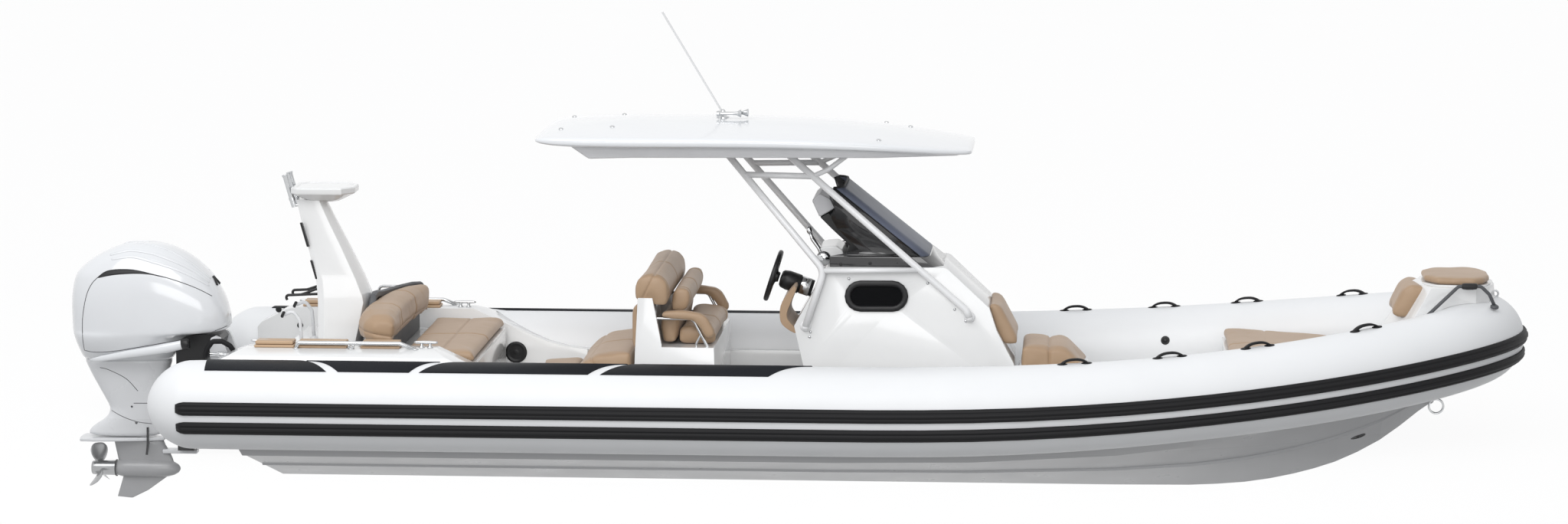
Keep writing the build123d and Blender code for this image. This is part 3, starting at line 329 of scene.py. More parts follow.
FINISHES = {}
for row in (
    # name, tint, shade, roughness range, relief, options
    ("tube_fabric", (0.8, 0.805, 0.81), (0.77, 0.775, 0.78), (0.38, 0.46), ("weave", 700.0, 0.05), {}),
    ("gelcoat", (0.79, 0.79, 0.785), (0.76, 0.76, 0.755), (0.16, 0.26), ("grain", 300.0, 0.02),
        {"coat": 0.6}),
    # hull_gelcoat: painted shade, a mid grey set darker than the white gelcoat so the hull below the tubes
    # renders dark
    ("hull_gelcoat", (0.53, 0.53, 0.535), (0.49, 0.49, 0.495), (0.24, 0.36), ("grain", 200.0, 0.03),
        {"gloss": 0.3}),
    ("deck_gelcoat", (0.76, 0.76, 0.75), (0.7, 0.7, 0.69), (0.4, 0.52), ("hide", 500.0, 0.15), {}),
    ("roof_gelcoat", (0.78, 0.79, 0.8), (0.75, 0.76, 0.78), (0.14, 0.22), ("grain", 250.0, 0.02),
        {"coat": 0.7}),
    ("liner_paint", (0.8, 0.8, 0.81), (0.72, 0.72, 0.73), (0.45, 0.6), ("grain", 500.0, 0.1), {}),
    ("black_rubber", (0.006, 0.006, 0.007), (0.01, 0.01, 0.011), (0.48, 0.62), ("grain", 600.0, 0.2),
        {"gloss": 0.22}),
    ("tread_rubber", (0.007, 0.008, 0.011), (0.011, 0.013, 0.017), (0.5, 0.62), ("weave", 300.0, 0.5),
        {"gloss": 0.18}),
    ("black_plastic", (0.009, 0.009, 0.01), (0.015, 0.015, 0.016), (0.3, 0.42), ("grain", 700.0, 0.15),
        {"gloss": 0.35}),
    ("grey_vinyl", (0.085, 0.088, 0.095), (0.065, 0.067, 0.072), (0.42, 0.55), ("hide", 300.0, 0.25), {}),
    ("tan_hide", (0.405, 0.274, 0.17), (0.357, 0.24, 0.148), (0.42, 0.55), ("hide", 280.0, 0.35),
        {"sheen": 0.12}),
    ("tan_welt", (0.27, 0.18, 0.115), (0.24, 0.16, 0.1), (0.45, 0.58), ("hide", 350.0, 0.3), {"sheen": 0.08}),
    ("white_metal", (0.8, 0.8, 0.8), (0.76, 0.76, 0.765), (0.2, 0.3), ("grain", 500.0, 0.03), {"coat": 0.4}),
    ("engine_white", (0.74, 0.75, 0.765), (0.71, 0.72, 0.735), (0.12, 0.2), ("grain", 250.0, 0.015),
        {"coat": 0.9}),
    ("engine_metal", (0.72, 0.725, 0.735), (0.66, 0.665, 0.675), (0.22, 0.34), ("grain", 350.0, 0.05),
        {"coat": 0.4}),
    ("gear_paint", (0.34, 0.34, 0.345), (0.28, 0.28, 0.285), (0.25, 0.38), ("grain", 350.0, 0.05),
        {"coat": 0.3}),
    ("seam_shadow", (0.1, 0.1, 0.105), (0.07, 0.07, 0.075), (0.5, 0.6), ("grain", 500.0, 0.05), {}),
    ("polished_steel", (0.62, 0.63, 0.64), (0.55, 0.56, 0.57), (0.1, 0.2), ("grain", 900.0, 0.03),
        {"metallic": 1.0}),
    ("prop_steel", (0.4, 0.405, 0.41), (0.3, 0.305, 0.31), (0.16, 0.3), ("grain", 700.0, 0.05),
        {"metallic": 1.0}),
    ("black_gloss", (0.012, 0.012, 0.013), (0.018, 0.018, 0.019), (0.1, 0.18), ("grain", 300.0, 0.01),
        {"coat": 0.8}),
    ("blue_tint", (0.14, 0.155, 0.205), (0.115, 0.13, 0.17), (0.28, 0.36), ("grain", 300.0, 0.01),
        {"gloss": 0.06}),
    ("pale_plastic", (0.52, 0.52, 0.53), (0.46, 0.46, 0.47), (0.35, 0.45), ("grain", 500.0, 0.08), {}),
    ("white_rod", (0.72, 0.72, 0.72), (0.66, 0.66, 0.66), (0.3, 0.4), ("grain", 600.0, 0.05), {}),
):
    name, tint, shade, rough, relief, options = row
    FINISHES[name] = new_finish(name, tint, shade, rough, relief, **options)
print(len(FINISHES), "finishes")

# %% [markdown]
# Two finishes need more. Teak pads are planks with black caulking between them, drawn along the
# boat's length. The tinted acrylic of the windscreen is glass with a very dark body, kept as plain
# transmission so that what stands behind it still shows faintly.

# %% Teak and tinted acrylic
teak = new_finish("teak_planks", (0.54, 0.38, 0.24), (0.47, 0.32, 0.2), (0.45, 0.6), ("grain", 500.0, 0.2))
nodes, links = teak.node_tree.nodes, teak.node_tree.links
boards = nodes.new("ShaderNodeGroup")
boards.node_tree = planks
caulk = nodes.new("ShaderNodeMix")
caulk.data_type = "RGBA"
caulk.inputs["B"].default_value = (0.02, 0.02, 0.02, 1)
shader = next(n for n in nodes if n.type == "BSDF_PRINCIPLED")
links.new(shader.inputs["Base Color"].links[0].from_socket, caulk.inputs["A"])
links.new(boards.outputs["Gap"], caulk.inputs["Factor"])
links.new(caulk.outputs["Result"], shader.inputs["Base Color"])
FINISHES["teak_planks"] = teak

glass = new_finish("tinted_acrylic", (0.012, 0.013, 0.016), (0.009, 0.01, 0.013), (0.05, 0.09),
    ("grain", 200.0, 0.01))
shader = next(n for n in glass.node_tree.nodes if n.type == "BSDF_PRINCIPLED")
shader.inputs["Transmission Weight"].default_value = 0.75
shader.inputs["IOR"].default_value = 1.15
FINISHES["tinted_acrylic"] = glass
FINISHES["smoked_screen"] = new_finish(
    "smoked_screen", (0.05, 0.054, 0.062), (0.04, 0.044, 0.052), (0.05, 0.1), ("grain", 200.0, 0.01),
        coat=1.0)
print("teak and acrylic ready")

# %% [markdown]
# Moulded parts that are already right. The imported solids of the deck, lockers, brackets and
# pipes have the true shape, so they stay and only take their finish. Larger mouldings have
# rounded edges that catch a line of light, and a solid's own edges are knife sharp. Those are
# copied, their loose triangles merged and flat faces joined again, and a Bevel modifier rounds
# the copy, which stands for the solid.

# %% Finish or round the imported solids
def dress(node, finish):
    """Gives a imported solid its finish."""
    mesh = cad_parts[node].data
    mesh.materials.clear()
    mesh.materials.append(FINISHES[finish])


def finish_piece(name, mesh, finish, body, stands_for=()):
    """Links a mesh as a piece that rides on a body."""
    mesh.materials.clear()
    mesh.materials.append(FINISHES[finish])
    mesh.polygons.foreach_set("use_smooth", [True] * len(mesh.polygons))
    piece = bpy.data.objects.new(name, mesh)
    bpy.context.scene.collection.objects.link(piece)
    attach(piece, body)
    if stands_for:
        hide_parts(*stands_for)
    return piece


def soften(piece, width, segments=2, angle=30):
    """Rounds a piece's sharp edges with a live Bevel."""
    bevel = piece.modifiers.new("soft_edge", "BEVEL")
    bevel.width, bevel.segments = width, segments
    bevel.limit_method = "ANGLE"
    bevel.angle_limit = radians(angle)
    bevel.harden_normals = True
    return piece


def merged_copy(node):
    """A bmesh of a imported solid, its triangles joined into whole faces again."""
    shape = bmesh.new()
    shape.from_mesh(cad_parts[node].data)
    bmesh.ops.remove_doubles(shape, verts=shape.verts, dist=0.00005)
    bmesh.ops.dissolve_limit(shape, angle_limit=radians(1.2), verts=shape.verts, edges=shape.edges)
    return shape


def rounded(node, finish, body, width, angle=30):
    """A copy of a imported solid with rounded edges, which stands for it."""
    shape = merged_copy(node)
    mesh = bpy.data.meshes.new("soft_" + node)
    shape.to_mesh(mesh)
    shape.free()
    piece = finish_piece("soft_" + node, mesh, finish, body, [node])
    return soften(piece, width, angle=angle)


# The hull takes the painted-shade grey.
KEPT = {
    "hull_gelcoat": ("hull",), "deck_gelcoat": ("deck",), "tinted_acrylic": ("window_glass_starboard",
        "window_glass_door"),
    "teak_planks": ("coaming_pads",), "grey_vinyl": ("bench_shell",),
    "gelcoat": ("coaming_port", "coaming_starboard", "stern_moulding", "bench_base", "bench_lid", "console",
        "console_door",
                "helm_base", "front_seat_base", "front_seat_lid", "bow_locker", "bow_lid", "bow_pod",
                    "pod_lid", "mast"),
    "engine_metal": ("clamp_bracket", "engine_leg"), "engine_white": ("engine_cowl",),
        "gear_paint": ("gearcase",),
    "prop_steel": ("propeller",), "black_plastic": ("swivel_bracket", "windscreen_base", "dash",
        "steering_wheel"),
    "liner_paint": ("roof_liner",), "roof_gelcoat": ("roof",), "white_metal": ("roof_legs_port",
        "roof_legs_starboard"),
    "polished_steel": ("roof_fittings", "armrest_frames", "bow_eye", "stem_ring", "rod_holders",
        "stern_rails", "cleats"),
    "white_rod": ("antenna",), "black_rubber": ("bow_rails", "tube_handles"), "smoked_screen": ("windscreen",
        ),
    "tan_hide": ("bench_cushion", "bench_backrest", "helm_bolster", "helm_cushions", "armrest_pads",
        "lounge_cushions",
                 "front_seat_cushion", "front_backrest", "bow_cushion", "pod_cushion", "lean_pad"),
    "tread_rubber": ("tread_strips",),
}
for finish, nodes_kept in KEPT.items():
    for node in nodes_kept:
        dress(node, finish)
print(sum(len(row) for row in KEPT.values()), "solids have their finish")
# %% [markdown]
# Ways of making shapes. Three helpers do most of the work. A skin joins a row of rings by bridging
# each to the next, which makes tubes, cowls and legs. A bent pipe is one ring extruded along its
# straight runs and spun round its bends, as a real pipe is bent. A plate is one face extruded to
# its thickness. All of them could be curves with a bevel, but a mesh gives full control of the
# ends.

# %% Shape helpers
def only(geom, kind):
    return [item for item in geom if isinstance(item, kind)]


def ring_at(shape, place, turn, radii, sides=32):
    """A ring of edges with its own two radii, its plane turned by a matrix."""
    matrix = Matrix.Translation(place) @ turn.to_4x4() @ Matrix.Diagonal((*radii, 1, 1))
    made = bmesh.ops.create_circle(shape, radius=1, segments=sides, matrix=matrix)
    return list({edge for vert in made["verts"] for edge in vert.link_edges})


def loop_at(shape, points):
    """A closed loop of edges through a few points."""
    verts = [shape.verts.new(point) for point in points]
    return [shape.edges.new((a, b)) for a, b in zip(verts, verts[1:] + verts[:1])]


def skin(shape, loops, caps=True):
    """Bridges each loop to the next and closes both ends."""
    for near, far in zip(loops, loops[1:]):
        bmesh.ops.bridge_loops(shape, edges=near + far)
    if caps:
        for end in (loops[0], loops[-1]):
            bmesh.ops.contextual_create(shape, geom=end)
    bmesh.ops.recalc_face_normals(shape, faces=shape.faces)


def facing(direction, up=(0, 0, 1)):
    """A 3x3 turn whose z looks along a direction and whose y is as near up as it can be."""
    z = Vector(direction).normalized()
    x = Vector(up).cross(z).normalized()
    return Matrix((x, z.cross(x), z)).transposed()


def bent_pipe(shape, points, radius, bend, sides=14):
    """A pipe through points; each corner is bent by spinning the end ring round it."""
    points = [Vector(point) for point in points]
    heading = (points[1] - points[0]).normalized()
    turn = heading.to_track_quat("Z", "Y").to_matrix()
    edges = ring_at(shape, points[0], turn, (radius, radius), sides)
    bmesh.ops.contextual_create(shape, geom=edges)
    here = points[0]
    for index in range(1, len(points)):
        heading = (points[index] - points[index - 1]).normalized()
        cut = angle = 0.0
        if index < len(points) - 1:
            onward = (points[index + 1] - points[index]).normalized()
            angle = heading.angle(onward)
            cut = bend * tan(angle / 2)
        made = bmesh.ops.extrude_edge_only(shape, edges=edges)["geom"]
        fresh = set(only(made, bmesh.types.BMVert))
        bmesh.ops.translate(shape, verts=list(fresh), vec=points[index] - heading * cut - here)
        here = points[index] - heading * cut
        edges = [edge for edge in only(made, bmesh.types.BMEdge) if set(edge.verts) <= fresh]
        if angle > 0.01:
            axis = heading.cross(onward).normalized()
            made = bmesh.ops.spin(
                shape, geom=edges, cent=here + axis.cross(heading) * bend, axis=axis, angle=angle,
                steps=max(2, round(angle / 0.26)))["geom_last"]
            edges = only(made, bmesh.types.BMEdge)
            here = points[index] + onward * cut
    bmesh.ops.contextual_create(shape, geom=edges)
    bmesh.ops.recalc_face_normals(shape, faces=shape.faces)


def plate(shape, outline, depth):
    """A flat outline extruded by a vector."""
    face = bmesh.ops.contextual_create(shape, geom=loop_at(shape, outline))["faces"]
    made = bmesh.ops.extrude_face_region(shape, geom=face)["geom"]
    bmesh.ops.translate(shape, verts=only(made, bmesh.types.BMVert), vec=depth)
    bmesh.ops.recalc_face_normals(shape, faces=shape.faces)


def lathe(shape, profile, centre, axis, steps=32):
    """A (radius, height) profile turned round an axis."""
    turn = facing(axis, (0.0, 1.0, 0.01))
    centre = Vector(centre)
    verts = [shape.verts.new(centre + turn @ Vector((radius, 0, height))) for radius, height in profile]
    line = [shape.edges.new(pair) for pair in zip(verts, verts[1:])]
    bmesh.ops.spin(shape, geom=verts + line, cent=centre, axis=turn.col[2], angle=2 * pi, steps=steps,
        use_merge=True)
    bmesh.ops.remove_doubles(shape, verts=shape.verts, dist=0.00002)
    bmesh.ops.recalc_face_normals(shape, faces=shape.faces)


def both_sides(shape):
    """Adds the mirror image of a shape across the centreline."""
    half = shape.verts[:] + shape.edges[:] + shape.faces[:]
    bmesh.ops.mirror(shape, geom=half, matrix=Matrix.Identity(4), merge_dist=-1, axis="Y")
    bmesh.ops.recalc_face_normals(shape, faces=shape.faces)


def add_piece(name, shape, finish, body="boat", stands_for=(), edge=0.0, segments=2):
    """Closes a bmesh into a piece; edge is the radius of its live bevel."""
    mesh = bpy.data.meshes.new(name)
    shape.to_mesh(mesh)
    shape.free()
    piece = finish_piece(name, mesh, finish, body, stands_for)
    if edge:
        soften(piece, edge, segments)
    return piece


print("shape helpers ready")

# %% [markdown]
# The inflatable collar. The real one is coated fabric, inflated hard: straight tubes along each
# side, rounded aft ends, and one continuous bow curve that also rises. A swept curve would do, but
# rings that are bridged let the radius ease down towards the bow. The rings follow the same line
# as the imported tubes, only closer together, and one level of subdivision makes them smooth.

# %% Collar line
TUBE_RADIUS, BOW_RADIUS = 0.316, 0.302
TUBE_BREADTH, TUBE_HEIGHT = 1.29, 0.325
TUBE_AFT, SHEER_START, BOW_START, BOW_TIP = -0.515, 4.2, 5.0, 8.635
SHEER_RISE = 0.392


def collar_height(x):
    return TUBE_HEIGHT + SHEER_RISE * (max(0.0, x - SHEER_START) / (BOW_TIP - SHEER_START)) ** 2


def collar_radius(x):
    slim = min(1.0, max(0.0, (x - BOW_START) / 1.5))
    return TUBE_RADIUS + (BOW_RADIUS - TUBE_RADIUS) * slim


def collar_frame(x, y, heading):
    """Place and turn of a port section: local x outboard, local y up, local z forward along the tube."""
    slope = 2 * SHEER_RISE * max(0.0, x - SHEER_START) / (BOW_TIP - SHEER_START) ** 2
    along = Vector((cos(heading), -sin(heading), slope * cos(heading))).normalized()
    outboard = Vector((sin(heading), cos(heading), 0))
    return Vector((x, y, collar_height(x))), Matrix((outboard, along.cross(outboard), along)).transposed()


def collar_stations(straight_steps=14, bow_steps=30):
    """(place, turn, radius) from the round aft cap to the stem, on the port side."""
    rows = []
    for index in range(straight_steps + 1):
        x = TUBE_AFT + (BOW_START - TUBE_AFT) * index / straight_steps
        rows.append((*collar_frame(x, TUBE_BREADTH, 0), collar_radius(x)))
    reach = BOW_TIP - BOW_START
    for index in range(1, bow_steps + 1):
        heading = radians(90) * index / bow_steps
        t = atan2(reach * sin(heading), TUBE_BREADTH * cos(heading))
        x = BOW_START + reach * sin(t)
        y = TUBE_BREADTH * cos(t) if index < bow_steps else 0.0
        rows.append((*collar_frame(x, y, heading), collar_radius(x)))
    return rows


CAP_RINGS = ((0.319, 0.0), (0.314, 0.12), (0.301, 0.27), (0.281, 0.42), (0.252, 0.56), (0.212, 0.7),
    (0.165, 0.82), (0.105, 0.92), (0.05, 0.98))
collar = bmesh.new()
loops = []
for reach, share in CAP_RINGS[1:]:
    place, turn = collar_frame(TUBE_AFT - reach, TUBE_BREADTH, 0)
    loops.append(ring_at(collar, place, turn, (share * TUBE_RADIUS,) * 2, 40))
for place, turn, radius in collar_stations():
    loops.append(ring_at(collar, place, turn, (radius, radius), 40))
skin(collar, loops, caps=False)
bmesh.ops.contextual_create(collar, geom=loops[0])
both_sides(collar)
bmesh.ops.remove_doubles(collar, verts=collar.verts, dist=0.0005)
bmesh.ops.recalc_face_normals(collar, faces=collar.faces)
print("collar", len(collar.faces), "faces")
tube = add_piece("collar_tubes", collar, "tube_fabric", stands_for=["tube_port",
    "tube_starboard"])
tube_smooth = tube.modifiers.new("smooth", "SUBSURF")
tube_smooth.levels = tube_smooth.render_levels = 1

# %% [markdown]
# Rubbing strakes. Two extruded rubber rails are glued along each tube and run round the bow. Each
# has a raised rib in the middle, two lower ribs beside it and a chamfered aft end. The section is
# drawn once in polar terms, angle and stand-off from the tube, placed at every station and bridged.

# %% Rubbing strakes
STRAKE_PROFILE = (  # share of the half width, stand-off in metres
    (1.0, 0.0005), (0.97, 0.01), (0.84, 0.0165), (0.7, 0.017), (0.62, 0.0215), (0.5, 0.0215), (0.42, 0.017),
        (0.24, 0.0195),
    (0.15, 0.0285), (-0.15, 0.0285), (-0.24, 0.0195), (-0.42, 0.017), (-0.5, 0.0215), (-0.62, 0.0215),
        (-0.7, 0.017),
    (-0.84, 0.0165), (-0.97, 0.01), (-1.0, 0.0005), (-0.6, -0.004), (0.0, -0.004), (0.6, -0.004),
)


def strake_loop(shape, place, turn, radius, middle, half, flatten):
    points = []
    for share, stand in STRAKE_PROFILE:
        angle = radians(middle + half * share)
        reach = radius + stand * (flatten if stand > 0 else 1)
        points.append(place + turn @ Vector((reach * cos(angle), reach * sin(angle), 0)))
    return loop_at(shape, points)


strakes = bmesh.new()
for middle in (4.0, -22.0):
    loops = []
    for reach, share, half, flatten in ((0.058, 0.983, 5.4, 0.2), (0.03, 0.996, 7.6, 0.85)):
        place, turn = collar_frame(TUBE_AFT - reach, TUBE_BREADTH, 0)
        loops.append(strake_loop(strakes, place, turn, TUBE_RADIUS * share, middle, half, flatten))
    for place, turn, radius in collar_stations(16, 45):
        loops.append(strake_loop(strakes, place, turn, radius, middle, 8.6, 1.0))
    skin(strakes, loops, caps=False)
    bmesh.ops.contextual_create(strakes, geom=loops[0])
both_sides(strakes)
bmesh.ops.remove_doubles(strakes, verts=strakes.verts, dist=0.0003)
bmesh.ops.recalc_face_normals(strakes, faces=strakes.faces)
print("strakes", len(strakes.faces), "faces")
add_piece("ribbed_strakes", strakes, "black_rubber", stands_for=["rubbing_strakes"])
# %% [markdown]
# Marks on a surface. Panel gaps, piping and creases follow a curved surface. Each is drawn as a
# few points in a side view, smoothed, and thrown onto the surface along the camera's line of sight,
# then a small closed section is swept along it. Doing it in the mesh, instead of painting it in
# the material, keeps it when the model is exported.

# %% Draped beads and patches
from mathutils.bvhtree import BVHTree


def surface_of(piece):
    """A tree for ray casts on a finished piece, with its modifiers."""
    bpy.context.view_layer.update()
    return BVHTree.FromObject(piece, bpy.context.evaluated_depsgraph_get())


def smoothed(points, steps=6, closed=False):
    """Points on a smooth curve through a few given ones."""
    points = [Vector(point) for point in points]
    count = len(points)
    out = []
    for index in range(count if closed else count - 1):
        if closed:
            a, b, c, d = (points[(index + k) % count] for k in (-1, 0, 1, 2))
        else:
            b, c = points[index], points[index + 1]
            a = points[index - 1] if index else b * 2 - c
            d = points[index + 2] if index + 2 < count else c * 2 - b
        for step in range(steps):
            t = step / steps
            out.append(0.5 * (2 * b + (c - a) * t + (2 * a - 5 * b + 4 * c - d) * t * t + (3 * b - 3 * c + d - a) * t ** 3))
    if not closed:
        out.append(points[-1])
    return out


def seen_on(tree, x, z, sheet_y=-0.3):
    """Where the camera's line of sight through (x, sheet_y, z) meets a surface."""
    way = (Vector((x, sheet_y, z)) - CAMERA_PLACE).normalized()
    place, normal, _, _ = tree.ray_cast(CAMERA_PLACE, way)
    return (place, normal) if place is not None else (None, None)


def bead(shape, places, normals, half, height, closed=False):
    """A low rounded bead along places on a surface."""
    loops = []
    count = len(places)
    for index, (place, normal) in enumerate(zip(places, normals)):
        ahead = places[(index + 1) % count] if closed or index + 1 < count else place
        behind = places[index - 1] if closed or index else place
        across = (ahead - behind).cross(normal).normalized() * half
        rise = normal.normalized() * height
        loops.append(loop_at(shape, (
            place - across - rise * 0.6, place - across * 0.8 + rise * 0.6, place + rise,
            place + across * 0.8 + rise * 0.6, place + across - rise * 0.6)))
    if closed:
        loops.append(loops[0])
    skin(shape, loops, caps=not closed)


def draped(shape, tree, points, half, height, closed=False, steps=6, sheet_y=-0.3):
    """A bead drawn in a side view and laid on a surface."""
    hits = [seen_on(tree, x, z, sheet_y) for x, _, z in smoothed([(x, 0, z) for x, z in points], steps,
        closed)]
    hits = [hit for hit in hits if hit[0] is not None]
    bead(shape, [hit[0] for hit in hits], [hit[1] for hit in hits], half, height, closed)


def patch(shape, tree, outline, height, steps=3, cuts=3, sheet_y=-0.3):
    """A thin plate with a free outline, laid on a surface."""
    loose = bmesh.new()
    face = bmesh.ops.contextual_create(loose, geom=loop_at(loose,
        smoothed([(x, 0, z) for x, z in outline], steps, True)))
    bmesh.ops.triangulate(loose, faces=face["faces"])
    bmesh.ops.subdivide_edges(loose, edges=loose.edges, cuts=cuts, use_grid_fill=True)
    for vert in loose.verts:
        place, normal = seen_on(tree, vert.co.x, vert.co.z, sheet_y)
        if place is not None:
            vert.co = place + normal * height
    made = bmesh.ops.extrude_face_region(loose, geom=loose.faces[:])["geom"]
    for vert in only(made, bmesh.types.BMVert):
        place, normal, _, _ = tree.find_nearest(vert.co)
        vert.co = place - normal * 0.002
    bmesh.ops.recalc_face_normals(loose, faces=loose.faces)
    mesh = bpy.data.meshes.new("patch")
    loose.to_mesh(mesh)
    loose.free()
    shape.from_mesh(mesh)
    bpy.data.meshes.remove(mesh)


print("draping ready")

# %% [markdown]
# The outboard engine's hood. It is one large moulded cover, egg shaped from the side and an oval
# from above, over a lower cowling that narrows to the leg. Its sections are ovals with squared
# shoulders, so each ring starts as a circle and is squared a little before the rings are bridged
# and subdivided.

# %% Hood and lower cowling
def squared_ring(shape, z, aft, fore, half, power=2.9, sides=40):
    """A level oval ring with squared shoulders."""
    made = bmesh.ops.create_circle(shape, radius=1, segments=sides)["verts"]
    for vert in made:
        c, s = vert.co.x, vert.co.y
        vert.co = Vector((
            (aft + fore) / 2 + (fore - aft) / 2 * abs(c) ** (2 / power) * (1 if c > 0 else -1),
            half * abs(s) ** (2 / power) * (1 if s > 0 else -1), z))
    return list({edge for vert in made for edge in vert.link_edges})


COWL_ROWS = (  # height, aft x, fore x, half width, power
    (0.425, -1.556, -0.93, 0.145, 2.6), (0.46, -1.58, -0.9, 0.18, 2.7), (0.52, -1.604, -0.87, 0.228, 2.8),
    (0.58, -1.624, -0.84, 0.262, 2.9), (0.63, -1.638, -0.79, 0.281, 2.9), (0.652, -1.643, -0.68, 0.287, 2.9),
    (0.668, -1.646, -0.5, 0.29, 2.9), (0.69, -1.648, -0.476, 0.292, 2.9), (0.78, -1.65, -0.482, 0.296, 2.9),
    (0.867, -1.65, -0.505, 0.296, 2.9), (0.93, -1.646, -0.53, 0.294, 2.8), (0.987, -1.64, -0.56, 0.29, 2.7),
    (1.04, -1.628, -0.594, 0.282, 2.6), (1.084, -1.612, -0.63, 0.271, 2.6), (1.122, -1.578, -0.668, 0.258,
        2.5),
    (1.159, -1.535, -0.706, 0.242, 2.5), (1.192, -1.49, -0.745, 0.226, 2.5), (1.222, -1.44, -0.786, 0.207,
        2.4),
    (1.25, -1.385, -0.84, 0.184, 2.4), (1.275, -1.325, -0.9, 0.155, 2.3), (1.295, -1.27, -0.965, 0.115, 2.2),
    (1.305, -1.225, -1.03, 0.07, 2.1),
)
hood = bmesh.new()
skin(hood, [squared_ring(hood, *row) for row in COWL_ROWS])
cowl = add_piece("engine_hood", hood, "engine_white", "engine", ["engine_cowl"])
cowl_smooth = cowl.modifiers.new("smooth", "SUBSURF")
cowl_smooth.levels = cowl_smooth.render_levels = 1
cowl_tree = surface_of(cowl)
print("hood", len(cowl.data.polygons), "faces")

# %% Gaps, intake, creases and latches on the hood
PANEL_AFT = ((-1.399, 1.081), (-1.439, 1.039), (-1.476, 0.97), (-1.502, 0.871), (-1.517, 0.762),
    (-1.518, 0.633), (-1.507, 0.544))
PANEL_LOW = ((-1.507, 0.544), (-1.45, 0.533), (-1.371, 0.532), (-1.252, 0.545), (-1.093, 0.573),
    (-0.904, 0.608), (-0.756, 0.637), (-0.617, 0.671), (-0.507, 0.711), (-0.45, 0.735))
PANEL_TOP = ((-1.399, 1.081), (-1.339, 1.125), (-1.259, 1.141), (-1.16, 1.142), (-1.082, 1.131),
    (-1.003, 1.112), (-0.885, 1.084), (-0.748, 1.04), (-0.65, 1.001), (-0.557, 0.954))
# The hood's panel gaps are painted shade: dark beads in the seam_shadow finish, laid along the lines where the
# gaps' shadow falls.
gap_shadows = bmesh.new()
for line in (PANEL_AFT, PANEL_LOW, PANEL_TOP):
    draped(gap_shadows, cowl_tree, line, 0.0035, 0.0012)
both_sides(gap_shadows)
add_piece("engine_gap_shadows", gap_shadows, "seam_shadow", "engine")

intake = bmesh.new()
CRESCENT = (
    (-1.399, 1.079), (-1.339, 1.127), (-1.259, 1.143), (-1.16, 1.143), (-1.082, 1.132), (-1.003, 1.113),
        (-0.89, 1.083),
    (-0.944, 1.093), (-1.003, 1.105), (-1.082, 1.111), (-1.161, 1.11), (-1.26, 1.103), (-1.339, 1.09))
patch(intake, cowl_tree, CRESCENT, 0.0015)
both_sides(intake)
add_piece("engine_intakes", intake, "black_plastic", "engine")

creases = bmesh.new()
for line, half, height in ((((-1.306, 1.249), (-1.158, 1.283), (-1.0, 1.265), (-0.843, 1.212),
    (-0.697, 1.143), (-0.57, 1.053)), 0.016, 0.006),
    (((-1.297, 1.218), (-1.139, 1.237), (-0.992, 1.201), (-0.825, 1.151), (-0.688, 1.091), (-0.575, 1.03)),
    0.014, 0.005), (((-1.196, 1.335), (-1.038, 1.335), (-0.881, 1.293), (-0.745, 1.22), (-0.647, 1.152),
    (-0.56, 1.08)), 0.014, 0.005)):
    draped(creases, cowl_tree, line, half, height)
both_sides(creases)
crest = add_piece("engine_creases", creases, "engine_white", "engine")
crest_smooth = crest.modifiers.new("smooth", "SUBSURF")
crest_smooth.levels = crest_smooth.render_levels = 1

latches = bmesh.new()
draped(latches, cowl_tree, ((-0.548, 1.095), (-0.533, 1.068), (-0.52, 1.034)), 0.014, 0.012)
both_sides(latches)
for height, reach in ((0.8, 0.0),):
    place, normal, _, _ = cowl_tree.ray_cast(Vector((-3, 0, height)), Vector((1, 0, 0)))
    lathe(latches, [(0.0005, -0.012), (0.026, -0.012), (0.03, -0.003), (0.022, 0.001), (0.0005, 0.001)],
        place, normal, 20)
add_piece("engine_latches", latches, "black_plastic", "engine")
print("hood details")

# %% [markdown]
# The engine's leg and gearcase. Below the cowling the housing narrows, then flares aft into the
# flat plate over the propeller. The leg is again squared rings; the torpedo is turned; the skeg is
# a flat outline with a thin edge. The gearcase below the plate has its own, greyer paint.

# %% Leg
LEG_ROWS = (
    (0.47, -1.585, -0.9, 0.188, 2.6), (0.42, -1.562, -0.925, 0.15, 2.5), (0.36, -1.537, -0.94, 0.13, 2.5),
    (0.3, -1.508, -0.95, 0.115, 2.5), (0.19, -1.448, -0.962, 0.098, 2.5), (0.1, -1.398, -0.972, 0.088, 2.5),
    (0.07, -1.388, -0.975, 0.086, 2.5), (0.02, -1.402, -0.982, 0.083, 2.4), (-0.02, -1.446, -0.988, 0.08,
        2.4),
    (-0.06, -1.52, -0.995, 0.076, 2.3), (-0.1, -1.552, -1.0, 0.073, 2.3), (-0.142, -1.566, -1.008, 0.072,
        2.3),
)
leg = bmesh.new()
skin(leg, [squared_ring(leg, *row, sides=32) for row in LEG_ROWS])
lathe(leg, [(0.0005, -0.232), (0.025, -0.232), (0.025, 0.66), (0.0005, 0.66)], (-0.8, 0, 0), (0, 0, 1), 20)
leg_piece = add_piece("engine_leg_shell", leg, "engine_metal", "engine", ["engine_leg"])
leg_smooth = leg_piece.modifiers.new("smooth", "SUBSURF")
leg_smooth.levels = leg_smooth.render_levels = 1
leg_tree = surface_of(leg_piece)

# %% Leg details
# The leg's seam lines and two small round marks are painted shade: dark beads and discs in the seam_shadow
# finish.
marks = bmesh.new()
for line in (((-1.375, 0.076), (-1.281, 0.022), (-1.172, -0.016), (-1.063, -0.03)), ((-1.195, 0.122),
    (-1.08, 0.123)), ((-1.44, 0.385), (-1.377, 0.369), (-1.249, 0.305), (-1.162, 0.214))):
    draped(marks, leg_tree, line, 0.003, 0.001, sheet_y=-0.1)
for x, z, size in ((-1.209, 0.097, 0.008), (-1.178, -0.023, 0.01)):
    place, normal = seen_on(leg_tree, x, z, -0.1)
    lathe(marks, [(0.0005, -0.004), (size, -0.004), (size, 0.002), (0.0005, 0.003)], place, normal, 14)
both_sides(marks)
add_piece("leg_seam_shadows", marks, "seam_shadow", "engine")

